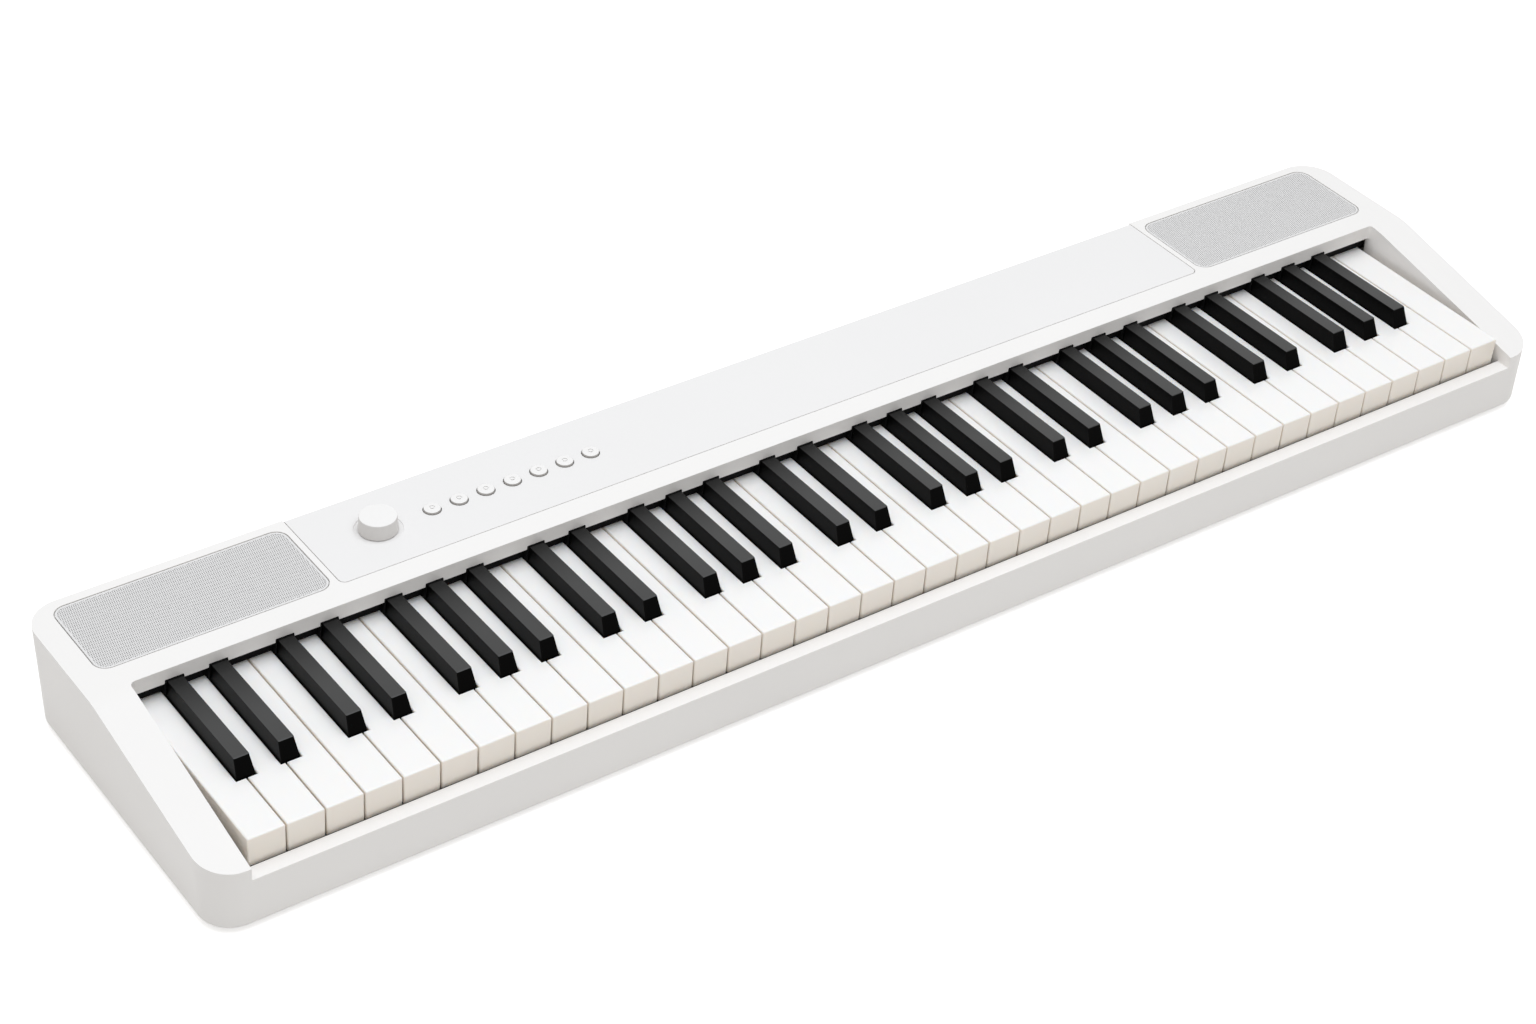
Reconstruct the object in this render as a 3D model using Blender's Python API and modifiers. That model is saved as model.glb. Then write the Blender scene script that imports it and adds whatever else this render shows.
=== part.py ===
"""Portable keyboard with 66 keys: a moulded case, a sprung keybed, two speakers and a control panel.

Metres, +Z up. +X runs from the low keys to the high keys and +Y runs to the rear. The origin is under
the middle of the instrument, on the surface that its rubber feet stand on.
"""

import math

import bmesh
import bpy
from mathutils import Matrix, Vector

# Keys: a white key's pitch and shape, from G up to C
WHITE_COUNT = 39
WHITE_PITCH = 0.0235
KEY_GAP = 0.001
WHITE_HEIGHT = 0.020
WHITE_LEAN = 0.0008
WHITE_HEAD = 0.0445
WHITE_SKIN = 0.0022
BLACK_WIDTH = 0.0114
BLACK_TOP_WIDTH = 0.0094
BLACK_HEIGHT = 0.011
BLACK_FALL = 0.001
BLACK_SLOPE = 0.0042
BLACK_CAP = 0.0040
BLACK_FRONT_GAP = 0.001
BLACK_SIDE_GAP = 0.0007
FIRST_LETTER = "G"

# Key tails: what lies behind the visible keys and turns on the pivot rod
KEY_REACH = 0.0075
TAIL_WIDTH = 0.0095
TAIL_TOP = 0.003
TAIL_HEIGHT = 0.013
TAIL_END = 0.010
PIVOT_RUN = 0.032
PIVOT_DROP = 0.010
ROD_RADIUS = 0.002
ROD_GAP = 0.0003
ROD_COVER = 0.0018
SPINE_DEPTH = 0.004
SPINE_HEIGHT = 0.0034
KEY_DIP = 0.010
ACTUATOR_BACK = 0.100
ACTUATOR_THICKNESS = 0.004

# Case: its depths from front to rear, its widths at the sides and its heights from the surface up
DECK_DEPTH = 0.0878
CHEEK_WIDTH = 0.025
SIDE_GAP = 0.004
RAIL_DEPTH = 0.011
RAIL_GAP = 0.0012
FOOT_HEIGHT = 0.003
RAIL_HEIGHT = 0.0325
KEY_RISE = 0.018
DECK_RISE = 0.018
CHEEK_STEP = 0.008
WELL_DEPTH = 0.1285
WALL_LIFT = 0.0085
WELL_RADIUS = 0.0025
CORNER_RADIUS = 0.022
CORNER_STEPS = 8
DRAFT = 0.002
LOWER_ROUND = 0.0035
LOWER_ROUND_STEPS = 3
LOWER_LIP = 0.002
CREASE_RADIUS = 0.060
CREASE_STEPS = 3
SHELL = 0.0025
DECK_THICKNESS = 0.0034
EDGE_ROUND = 0.0015
SEAT_GAP = 0.0003

# Collar strip: the dark strip behind the white keys, with a collar round each black key
STRIP_THICKNESS = 0.0036
STRIP_LIFT = 0.0008
COLLAR_GAP = 0.0006
COLLAR_WALL = 0.0013
COLLAR_PROUD = 0.0008
STRIP_TOP_GAP = 0.001

# Deck: the speaker grilles and the control panel let into it
GRILLE_LENGTH = 0.145
GRILLE_SETBACK = 0.0175
GRILLE_RADIUS = 0.008
GRILLE_SHEET = 0.0012
GRILLE_SIDE_MARGIN = 0.016
GRILLE_REAR_MARGIN = 0.0073
GRILLE_SINK = 0.0002
PANEL_MARGIN = 0.005
PANEL_SETBACK = 0.017
PANEL_THICKNESS = 0.0018
PANEL_RADIUS = 0.004
WINDOW_MARGIN = 0.018
WINDOW_DEPTH = 0.034

# Controls: one turning knob and a row of push buttons
CONTROL_SETBACK = 0.0515
KNOB_INSET = 0.043
KNOB_RADIUS = 0.012
KNOB_TAPER = 0.0005
KNOB_HEIGHT = 0.010
KNOB_ROUND = 0.001
KNOB_LIFT = 0.0004
DISH_RADIUS = 0.0147
DISH_DEPTH = 0.0006
SHAFT_RADIUS = 0.003
SHAFT_GAP = 0.0005
SHAFT_IN_POT = 0.003
BUTTON_COUNT = 7
BUTTON_LEAD = 0.036
BUTTON_PITCH = 0.0183
BUTTON_RADIUS = 0.0054
BUTTON_PROUD = 0.0014
BUTTON_CROWN = 0.0005
BUTTON_FLANGE = 0.0008
BUTTON_FLANGE_HEIGHT = 0.001
BUTTON_STEM_RADIUS = 0.0016
BUTTON_TRAVEL = 0.001
BORE_GAP = 0.0004

# Panel board under the controls, with a switch for each button and the potentiometer
BOARD_THICKNESS = 0.0016
PANEL_BOARD_DROP = 0.010
SWITCH_SIDE = 0.006
SWITCH_HEIGHT = 0.0035
POT_SIDE = 0.012
POT_HEIGHT = 0.006
POST_RADIUS = 0.0025

# Speakers: an oval driver behind each grille
SPEAKER_LENGTH = 0.128
SPEAKER_WIDTH = 0.052
SPEAKER_FLANGE = 0.002
SPEAKER_RIM = 0.006
BASKET_DEPTH = 0.0085
BASKET_SHARE = 0.55
MAGNET_RADIUS = 0.016
MAGNET_DEPTH = 0.005
CONE_DEPTH = 0.008

# Keybed: chassis, guide posts, felt, springs and contacts
CHASSIS_CLEAR = 0.0005
CHASSIS_BASE = 0.0025
CHASSIS_LIFT = 0.002
CHASSIS_FRONT = 0.0005
CHASSIS_RUN = 0.014
WHITE_POST_BACK = 0.0145
BLACK_POST_BACK = 0.056
POST_DEPTH = 0.004
WHITE_POST_WIDTH = 0.006
BLACK_POST_WIDTH = 0.004
POST_REACH = 0.005
FELT_BACK = 0.004
FELT_DEPTH = 0.005
FELT_THICKNESS = 0.003
GUIDE_DEPTH = 0.016
BEAM_DEPTH = 0.010
BEAM_RUN = 0.006
WEB_THICKNESS = 0.0024
WEB_AHEAD = 0.018
WEB_BEHIND = 0.008
SPRING_SHEET = 0.0008
SPRING_WIDTH = 0.005
SPRING_AHEAD = 0.012
SPRING_GAP = 0.0004
DOME_BASE = 0.0012
DOME_HEIGHT = 0.006
DOME_RADIUS = 0.0045
DOME_TOP_RADIUS = 0.0026
DOME_GAP = 0.0004
CONTACT_DEPTH = 0.018

# Lower case with its feet, ribs, bosses and the main board
LOWER_GAP = 0.0004
LOWER_THICKNESS = 0.0025
RIB_THICKNESS = 0.002
FRONT_RIB_BACKS = (0.020, 0.060)
REAR_RIB_RUN = 0.004
BOSS_RADIUS = 0.0055
BOSS_HEIGHT = 0.006
SCREW_BORE = 0.0036
SCREW_FLOOR = 0.002
BOSS_INSET = 0.017
REAR_BOSS_X = (-0.4725, -0.319, 0.060, 0.270, 0.4725)
COLUMN_RADIUS = 0.004
PILOT_RADIUS = 0.0013
FOOT_RADIUS = 0.009
FOOT_SEAT = 0.001
FOOT_INSET_X = 0.050
FOOT_INSET_Y = 0.030
FOOT_ROUND = 0.0008
MAIN_BOARD_X = -0.030
MAIN_BOARD_LENGTH = 0.150
MAIN_BOARD_GAP = 0.0034
MAIN_BOARD_LIFT = 0.014
MAIN_POST = 0.006
POST_INSET = 0.0045
SOCKET_PITCH = 0.032
SOCKET_SIDE = 0.014
SOCKET_NOSE = 0.0048
SOCKET_BORE = 0.0033
SOCKET_BORE_DEPTH = 0.016
USB_SIZE = (0.009, 0.0034)
USB_OPENING = (0.0082, 0.0026)
USB_DEPTH = 0.006
POWER_PIN = 0.001

# Worked out from the sizes above
KEYS_LENGTH = WHITE_COUNT * WHITE_PITCH - KEY_GAP
WELL_HALF = KEYS_LENGTH / 2 + SIDE_GAP
CASE_HALF = WELL_HALF + CHEEK_WIDTH
CASE_DEPTH = RAIL_DEPTH + RAIL_GAP + WELL_DEPTH + DECK_DEPTH
FRONT_Y = -CASE_DEPTH / 2
REAR_Y = CASE_DEPTH / 2
RAIL_INNER_Y = FRONT_Y + RAIL_DEPTH
KEY_Y = RAIL_INNER_Y + RAIL_GAP
WALL_Y = KEY_Y + WELL_DEPTH
BASE_Z = FOOT_HEIGHT
RAIL_Z = BASE_Z + RAIL_HEIGHT
KEY_Z = RAIL_Z + KEY_RISE
DECK_Z = KEY_Z + DECK_RISE
WALL_EDGE_Z = KEY_Z + WALL_LIFT
CEILING_Z = DECK_Z - DECK_THICKNESS
KEY_BASE_Z = KEY_Z - WHITE_HEIGHT
KEY_BODY_LENGTH = WELL_DEPTH + KEY_REACH
BEAM_BACK = KEY_BODY_LENGTH + BEAM_RUN
PIVOT_BACK = KEY_BODY_LENGTH + PIVOT_RUN
PIVOT_Y = KEY_Y + PIVOT_BACK
CHASSIS_REAR_Y = PIVOT_Y + CHASSIS_RUN
RIB_BACKS = (*FRONT_RIB_BACKS, ACTUATOR_BACK, BEAM_BACK, PIVOT_BACK + REAR_RIB_RUN)
PIVOT_Z = KEY_Z - PIVOT_DROP
DIP_SINE = KEY_DIP / PIVOT_BACK
SADDLE_RADIUS = ROD_RADIUS + ROD_GAP
TAIL_END_Y = PIVOT_Y + TAIL_END
TAIL_BASE_Z = KEY_Z - TAIL_TOP - TAIL_HEIGHT
STRIP_Y = WALL_Y + SHELL + SEAT_GAP
BLACK_FRONT = WHITE_HEAD + BLACK_FRONT_GAP
GUIDE_TOP_Z = KEY_BASE_Z - KEY_DIP - FELT_THICKNESS
FELT_Z = GUIDE_TOP_Z + SEAT_GAP
CHASSIS_Z = BASE_Z + LOWER_THICKNESS + CHASSIS_LIFT
DOME_TOP_Z = KEY_BASE_Z - DIP_SINE * (PIVOT_BACK - ACTUATOR_BACK) - DOME_GAP
DOME_BASE_Z = DOME_TOP_Z - DOME_HEIGHT - DOME_BASE
CONTACT_TOP_Z = DOME_BASE_Z - SEAT_GAP
LEDGE_Z = CONTACT_TOP_Z - BOARD_THICKNESS - SEAT_GAP
CONTROL_Y = WALL_Y + CONTROL_SETBACK
PANEL_HALF = CASE_HALF - GRILLE_SIDE_MARGIN - GRILLE_LENGTH - PANEL_MARGIN
PANEL_FRONT_Y = WALL_Y + PANEL_SETBACK
KNOB_X = -PANEL_HALF + KNOB_INSET
BUTTON_X = KNOB_X + BUTTON_LEAD
GRILLE_X = CASE_HALF - GRILLE_SIDE_MARGIN - GRILLE_LENGTH / 2
GRILLE_DEPTH = DECK_DEPTH - GRILLE_SETBACK - GRILLE_REAR_MARGIN
GRILLE_Y = WALL_Y + GRILLE_SETBACK + GRILLE_DEPTH / 2
PANEL_BOARD_Z = DECK_Z - PANEL_BOARD_DROP
MAIN_BOARD_Z = BASE_Z + LOWER_THICKNESS + MAIN_BOARD_LIFT
INNER_REAR_Y = REAR_Y - DRAFT - SHELL

LETTERS = "CDEFGAB"
SHARPS = {"C": 0, "D": 1, "F": 2, "G": 3, "A": 4}
EPS = 0.001
SHARP_ANGLE = math.radians(35)
SIDE_PLANE = Matrix(((0, 0, 1, 0), (1, 0, 0, 0), (0, 1, 0, 0), (0, 0, 0, 1)))
FRONT_PLANE = Matrix(((1, 0, 0, 0), (0, 0, -1, 0), (0, 1, 0, 0), (0, 0, 0, 1)))


def clear_scene():
    """Empties the scene and makes the two collections."""
    for obj in list(bpy.data.objects):
        bpy.data.objects.remove(obj, do_unlink=True)
    found = []
    for name in ("portable_keyboard", "cutters"):
        collection = bpy.data.collections.new(name)
        bpy.context.scene.collection.children.link(collection)
        found.append(collection)
    return found


PARTS, CUTTERS = clear_scene()
ROOT = bpy.data.objects.new("keyboard_origin", None)
PARTS.objects.link(ROOT)


def new_object(name, mesh):
    """Links a mesh as a helper object, until it is made a part."""
    obj = bpy.data.objects.new(name, mesh)
    CUTTERS.objects.link(obj)
    obj.hide_render = True
    obj.display_type = "WIRE"
    return obj


def from_bmesh(name, bm):
    """Turns a bmesh into an object."""
    bmesh.ops.recalc_face_normals(bm, faces=bm.faces)
    mesh = bpy.data.meshes.new(name)
    bm.to_mesh(mesh)
    bm.free()
    return new_object(name, mesh)


def block(name, x, y, z):
    """A box between the two ends given for each axis."""
    bm = bmesh.new()
    bmesh.ops.create_cube(bm, size=1)
    size = Vector((x[1] - x[0], y[1] - y[0], z[1] - z[0]))
    middle = Vector((x[1] + x[0], y[1] + y[0], z[1] + z[0])) / 2
    bmesh.ops.scale(bm, vec=size, verts=bm.verts)
    bmesh.ops.translate(bm, vec=middle, verts=bm.verts)
    return from_bmesh(name, bm)


def round_bar(name, middle, radius, length, axis="Z", sides=16, top_radius=None):
    """A cylinder or a cone frustum about its middle point, along an axis."""
    bm = bmesh.new()
    end = radius if top_radius is None else top_radius
    bmesh.ops.create_cone(bm, cap_ends=True, segments=sides, radius1=radius, radius2=end, depth=length)
    turn = {"Z": Matrix()}
    turn["Y"] = Matrix.Rotation(-math.pi / 2, 4, "X")
    turn["X"] = Matrix.Rotation(math.pi / 2, 4, "Y")
    bmesh.ops.transform(bm, matrix=Matrix.Translation(middle) @ turn[axis], verts=bm.verts)
    return from_bmesh(name, bm)


def extruded(name, outline, low, high, plane=None):
    """A flat outline drawn as a filled curve and given a thickness from low to high across its plane."""
    curve = bpy.data.curves.new(name, "CURVE")
    curve.dimensions = "2D"
    curve.fill_mode = "BOTH"
    curve.extrude = (high - low) / 2
    spline = curve.splines.new("POLY")
    spline.points.add(len(outline) - 1)
    for point, (u, v) in zip(spline.points, outline):
        point.co = (u, v, 0, 1)
    spline.use_cyclic_u = True
    drawn = bpy.data.objects.new(name + "_outline", curve)
    CUTTERS.objects.link(drawn)
    bpy.context.view_layer.update()
    mesh = bpy.data.meshes.new_from_object(drawn.evaluated_get(bpy.context.evaluated_depsgraph_get()))
    bpy.data.objects.remove(drawn, do_unlink=True)
    bm = bmesh.new()
    bm.from_mesh(mesh)
    bmesh.ops.remove_doubles(bm, verts=bm.verts, dist=1e-6)
    flat_edges = [edge for edge in bm.edges if edge.is_manifold and edge.calc_face_angle() < 1e-4]
    bmesh.ops.dissolve_edges(bm, edges=flat_edges, use_verts=False)
    bmesh.ops.translate(bm, vec=(0, 0, (low + high) / 2), verts=bm.verts)
    if plane is not None:
        flipped = Matrix.Scale(-1, 4, (0, 0, 1)) if plane is FRONT_PLANE else Matrix()
        bmesh.ops.transform(bm, matrix=plane @ flipped, verts=bm.verts)
    return from_bmesh(name, bm)


def arc(centre, radius, start, end, steps):
    """Points along an arc, from one angle in degrees to another."""
    points = []
    for i in range(steps + 1):
        angle = math.radians(start + (end - start) * i / steps)
        points.append((centre[0] + radius * math.cos(angle), centre[1] + radius * math.sin(angle)))
    return points


def rounded_rectangle(x, y, radius, steps=CORNER_STEPS):
    """An outline with four equal round corners."""
    corners = ((x[1], y[0], -90), (x[1], y[1], 0), (x[0], y[1], 90), (x[0], y[0], 180))
    points = []
    for cx, cy, start in corners:
        centre = (cx - math.copysign(radius, cx - sum(x) / 2), cy - math.copysign(radius, cy - sum(y) / 2))
        points += arc(centre, radius, start, start + 90, steps)
    return points


def stadium(middle, length, width, steps=8):
    """An outline with two half-round ends."""
    half = length / 2 - width / 2
    right = arc((middle[0] + half, middle[1]), width / 2, -90, 90, steps)
    left = arc((middle[0] - half, middle[1]), width / 2, 90, 270, steps)
    return right + left


def combine(target, other, operation="DIFFERENCE"):
    """Cuts, joins or intersects with another object."""
    modifier = target.modifiers.new(operation.lower() + "_" + other.name, "BOOLEAN")
    modifier.operation = operation
    modifier.solver = "EXACT"
    modifier.object = other
    return target


def joined(name, objects):
    """Several separate objects as one mesh."""
    bm = bmesh.new()
    for obj in objects:
        bm.from_mesh(obj.data)
        bpy.data.objects.remove(obj, do_unlink=True)
    return from_bmesh(name, bm)


def settled(obj, helpers=()):
    """The object with its modifiers made real, and the helpers that it used removed."""
    bpy.context.view_layer.update()
    mesh = bpy.data.meshes.new_from_object(obj.evaluated_get(bpy.context.evaluated_depsgraph_get()))
    obj.modifiers.clear()
    obj.data = mesh
    for helper in helpers:
        bpy.data.objects.remove(helper, do_unlink=True)
    return obj


def soften(obj, width, segments=1, angle=SHARP_ANGLE):
    """Rounds the sharp edges."""
    bevel = obj.modifiers.new("edge_round", "BEVEL")
    bevel.width = width
    bevel.segments = segments
    bevel.limit_method = "ANGLE"
    bevel.angle_limit = angle
    bevel.use_clamp_overlap = True
    return obj


def soften_above(obj, width, level):
    """Rounds the sharp edges that lie wholly above a level."""
    bm = bmesh.new()
    bm.from_mesh(obj.data)
    weights = bm.edges.layers.float.new("bevel_weight_edge")
    for edge in bm.edges:
        is_above = min(vertex.co.z for vertex in edge.verts) > level
        edge[weights] = float(is_above and edge.calc_face_angle(0) > SHARP_ANGLE)
    bm.to_mesh(obj.data)
    bm.free()
    soften(obj, width, 2)
    obj.modifiers[-1].limit_method = "WEIGHT"


def make_part(obj, name, finish, origin=(0, 0, 0)):
    """Makes a helper a named part, with its own material and its origin where it is held or turns."""
    colour, roughness, metallic = finish
    CUTTERS.objects.unlink(obj)
    PARTS.objects.link(obj)
    obj.name = name
    obj.data.name = name
    obj.hide_render = False
    obj.display_type = "TEXTURED"
    obj.parent = ROOT
    if obj.modifiers and Vector(origin).length > 0:
        settled(obj)
    obj.data.transform(Matrix.Translation(-Vector(origin)))
    obj.location = origin
    material = bpy.data.materials.new(name + "_finish")
    material.use_nodes = True
    shader = material.node_tree.nodes["Principled BSDF"]
    shader.inputs["Base Color"].default_value = (*colour, 1)
    shader.inputs["Roughness"].default_value = roughness
    shader.inputs["Metallic"].default_value = metallic
    obj.data.materials.clear()
    obj.data.materials.append(material)
    obj.data.shade_smooth()
    obj.data.set_sharp_from_angle(angle=SHARP_ANGLE)
    return obj


# Finishes: colour, roughness, metallic
CASE_WHITE = ((0.87, 0.86, 0.85), 0.42, 0.0)
PANEL_WHITE = ((0.84, 0.84, 0.83), 0.40, 0.0)
KEY_WHITE = ((0.93, 0.92, 0.90), 0.22, 0.0)
KEY_BLACK = ((0.022, 0.022, 0.023), 0.34, 0.0)
STRIP_BLACK = ((0.012, 0.012, 0.012), 0.85, 0.0)
GRILLE_GREY = ((0.55, 0.55, 0.55), 0.45, 0.3)
CHASSIS_GREY = ((0.30, 0.30, 0.31), 0.55, 0.0)
RUBBER_GREY = ((0.07, 0.07, 0.07), 0.80, 0.0)
SILICONE = ((0.60, 0.58, 0.55), 0.60, 0.0)
STEEL = ((0.62, 0.62, 0.63), 0.28, 1.0)
FELT_GREEN = ((0.10, 0.20, 0.14), 0.95, 0.0)
BOARD_GREEN = ((0.04, 0.20, 0.09), 0.50, 0.0)
SPEAKER_BLACK = ((0.03, 0.03, 0.03), 0.60, 0.0)


class Key:
    """Where one key lies, and what its neighbours leave free for it."""

    def __init__(self, letter, left, right, rear_left, rear_right):
        self.letter = letter
        self.left = left
        self.right = right
        self.rear_left = rear_left
        self.rear_right = rear_right

    @property
    def middle(self):
        return (self.left + self.right) / 2

    @property
    def tail(self):
        return (self.rear_left + self.rear_right) / 2


def white_letter(i):
    """The note name of the white key at this place."""
    return LETTERS[(i + LETTERS.index(FIRST_LETTER)) % len(LETTERS)]


def black_middle(i):
    """Middle of the black key that stands right of this white key, or None where there is none."""
    letter = white_letter(i)
    if letter not in SHARPS or i + 1 >= WHITE_COUNT:
        return None
    first, keys = (0, 3) if letter in "CD" else (3, 4)
    slot = keys * WHITE_PITCH / (2 * keys - 1)
    steps = 2 * (LETTERS.index(letter) - first) + 1.5
    group_start = i - (LETTERS.index(letter) - first)
    return -KEYS_LENGTH / 2 - KEY_GAP / 2 + group_start * WHITE_PITCH + steps * slot


def key_layout():
    """Every white key, and every black key with the index of the white key before it."""
    whites = []
    blacks = []
    reach = BLACK_WIDTH / 2 + BLACK_SIDE_GAP
    for i in range(WHITE_COUNT):
        left = -KEYS_LENGTH / 2 + i * WHITE_PITCH
        right = left + WHITE_PITCH - KEY_GAP
        before = black_middle(i - 1) if i else None
        after = black_middle(i)
        rear_left = left if before is None else before + reach
        rear_right = right if after is None else after - reach
        whites.append(Key(white_letter(i), left, right, rear_left, rear_right))
        if after is not None:
            half = BLACK_WIDTH / 2
            blacks.append((i, Key(white_letter(i), after - half, after + half, after - half, after + half)))
    return whites, blacks


def tail_outline(is_black):
    """Side outline of a key's tail, with the saddle that rides on the pivot rod."""
    start = KEY_Y + KEY_BODY_LENGTH - WHITE_SKIN
    top = KEY_Z - TAIL_TOP
    crown = PIVOT_Z + SADDLE_RADIUS + ROD_COVER
    shoulder = PIVOT_Y + SADDLE_RADIUS + ROD_GAP
    saddle = arc((PIVOT_Y, PIVOT_Z), SADDLE_RADIUS, 0, 180, 4)
    if is_black:
        low = PIVOT_Z - KEY_GAP
        rear = [(TAIL_END_Y, low), (TAIL_END_Y, top)]
    else:
        low = TAIL_BASE_Z
        step = PIVOT_Z + KEY_GAP
        rear = [(TAIL_END_Y, low), (TAIL_END_Y, step), (shoulder + KEY_GAP, step), (shoulder, crown)]
    leg = [(PIVOT_Y + SADDLE_RADIUS, low)]
    front = [(PIVOT_Y - SADDLE_RADIUS, TAIL_BASE_Z), (start, TAIL_BASE_Z)]
    bend = [] if is_black else [(PIVOT_Y - SADDLE_RADIUS, top)]
    return [(start, top)] + front[::-1] + saddle[::-1] + leg + rear + bend


def key_tail(key, is_black):
    """The tail of one key, as wide as the others."""
    x = (key.tail - TAIL_WIDTH / 2, key.tail + TAIL_WIDTH / 2)
    return extruded("tail", tail_outline(is_black), x[0], x[1], SIDE_PLANE)


def white_key(key):
    """A white key: a shell open below, notched for the black keys beside it, with its tail."""
    head = KEY_Y + WHITE_HEAD
    rear = KEY_Y + KEY_BODY_LENGTH
    skin = WHITE_SKIN
    rib = (KEY_Y + ACTUATOR_BACK - ACTUATOR_THICKNESS / 2, KEY_Y + ACTUATOR_BACK + ACTUATOR_THICKNESS / 2)

    def plan(inset, front, back):
        steps = [(key.left + inset, front), (key.right - inset, front)]
        if key.rear_right < key.right:
            steps += [(key.right - inset, head - inset), (key.rear_right - inset, head - inset)]
        steps += [(key.rear_right - inset, back), (key.rear_left + inset, back)]
        if key.rear_left > key.left:
            steps += [(key.rear_left + inset, head - inset), (key.left + inset, head - inset)]
        return steps

    body = extruded("white_key", plan(0, KEY_Y, rear), KEY_BASE_Z, KEY_Z)
    for vertex in body.data.vertices:
        if vertex.co.y < KEY_Y + EPS and vertex.co.z < KEY_Z - EPS:
            vertex.co.y += WHITE_LEAN
    under = KEY_BASE_Z - EPS
    hollow = extruded("hollow", plan(skin, KEY_Y + skin + WHITE_LEAN, rib[0]), under, KEY_Z - skin)
    x = (key.rear_left + skin, key.rear_right - skin)
    back_hollow = block("back_hollow", x, (rib[1], rear - skin), (under, KEY_Z - skin))
    space = joined("space", [hollow, back_hollow])
    tail = key_tail(key, False)
    combine(body, space)
    combine(body, tail, "UNION")
    return settled(body, (space, tail))


def black_key(key):
    """A black key: a tapered cap with a sloping front over a skirt that is open below, with its tail."""
    front = KEY_Y + BLACK_FRONT
    rear = KEY_Y + KEY_BODY_LENGTH
    bm = bmesh.new()
    bmesh.ops.create_cube(bm, size=1)
    bmesh.ops.scale(bm, vec=(BLACK_WIDTH, rear - front, WHITE_HEIGHT), verts=bm.verts)
    bmesh.ops.translate(bm, vec=(key.middle, (front + rear) / 2, KEY_Z - WHITE_HEIGHT / 2), verts=bm.verts)
    bm.faces.ensure_lookup_table()
    top = max(bm.faces, key=lambda face: face.calc_center_median().z)
    risen = bmesh.ops.extrude_discrete_faces(bm, faces=[top])["faces"][0]
    sides = [edge for edge in bm.edges if edge.is_boundary]
    bmesh.ops.translate(bm, vec=(0, 0, BLACK_HEIGHT), verts=risen.verts)
    bmesh.ops.bridge_loops(bm, edges=sides)
    share = BLACK_TOP_WIDTH / BLACK_WIDTH
    for vertex in risen.verts:
        vertex.co.x = key.middle + (vertex.co.x - key.middle) * share
        if vertex.co.y < (front + rear) / 2:
            vertex.co.y += BLACK_SLOPE
        else:
            vertex.co.z -= BLACK_FALL
    body = from_bmesh("black_key", bm)
    inner = BLACK_WIDTH / 2 - WHITE_SKIN
    x = (key.middle - inner, key.middle + inner)
    z = (KEY_BASE_Z - EPS, KEY_Z + BLACK_HEIGHT - BLACK_CAP)
    rib = KEY_Y + ACTUATOR_BACK
    half = ACTUATOR_THICKNESS / 2
    ahead = block("ahead", x, (front + BLACK_SLOPE + BLACK_FALL, rib - half), z)
    behind = block("behind", x, (rib + half, rear - WHITE_SKIN), z)
    space = joined("space", [ahead, behind])
    tail = key_tail(key, True)
    combine(body, space)
    combine(body, tail, "UNION")
    return settled(body, (space, tail))


def key_bank(keys, is_black):
    """Several keys moulded on one spine behind the pivot rod."""
    make = black_key if is_black else white_key
    bodies = joined("bank", [make(key) for key in keys])
    half = TAIL_WIDTH / 2 - KEY_GAP
    x = (keys[0].tail - half, keys[-1].tail + half)
    y = (TAIL_END_Y - SPINE_DEPTH, TAIL_END_Y - SEAT_GAP)
    if is_black:
        top = KEY_Z - TAIL_TOP - SEAT_GAP
        z = (top - SPINE_HEIGHT, top)
    else:
        z = (TAIL_BASE_Z + SEAT_GAP, TAIL_BASE_Z + SEAT_GAP + SPINE_HEIGHT)
    spine = block("spine", x, y, z)
    combine(bodies, spine, "UNION")
    return settled(bodies, (spine,))


def make_keys(whites, blacks):
    """The keys: two middle octaves one by one, and the rest in banks of an octave."""
    starts = [i for i, key in enumerate(whites) if key.letter == "C" and i + 1 < len(whites)]
    middle = starts[1:3]
    groups = [("low", 0, starts[0])]
    for number, start in enumerate(starts, 1):
        end = start + len(LETTERS)
        if number == len(starts):
            end = len(whites)
        groups.append((str(number), start, end))
    for label, start, end in groups:
        own_whites = whites[start:end]
        own_blacks = [key for i, key in blacks if start <= i < end]
        if start in middle:
            for key in own_whites:
                origin = (key.tail, PIVOT_Y, PIVOT_Z)
                make_part(white_key(key), f"key_{key.letter.lower()}{label}", KEY_WHITE, origin)
            for key in own_blacks:
                origin = (key.tail, PIVOT_Y, PIVOT_Z)
                make_part(black_key(key), f"key_{key.letter.lower()}_sharp{label}", KEY_BLACK, origin)
            continue
        origin = (own_whites[0].tail, PIVOT_Y, PIVOT_Z)
        make_part(key_bank(own_whites, False), f"white_bank_{label}", KEY_WHITE, origin)
        origin = (own_blacks[0].tail, PIVOT_Y, PIVOT_Z)
        make_part(key_bank(own_blacks, True), f"black_bank_{label}", KEY_BLACK, origin)


def case_ring(inset, z):
    """The case's plan outline, set in by some width, at a height."""
    half = CASE_HALF - inset
    y = (FRONT_Y + inset, REAR_Y - inset)
    outline = rounded_rectangle((-half, half), y, CORNER_RADIUS - inset)
    return [(point[0], point[1], z) for point in outline]


def lofted(name, rings):
    """A closed form through rings with equal numbers of points."""
    bm = bmesh.new()
    rows = [[bm.verts.new(point) for point in ring] for ring in rings]
    for low, high in zip(rows, rows[1:]):
        for i, corner in enumerate(low):
            j = (i + 1) % len(low)
            bm.faces.new((corner, low[j], high[j], high[i]))
    bm.faces.new(rows[0])
    bm.faces.new(rows[-1])
    return from_bmesh(name, bm)


def case_block(name, inset, low, high):
    """A block with the case's plan outline, set in by some width."""
    return lofted(name, [case_ring(inset, low), case_ring(inset, high)])


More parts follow.
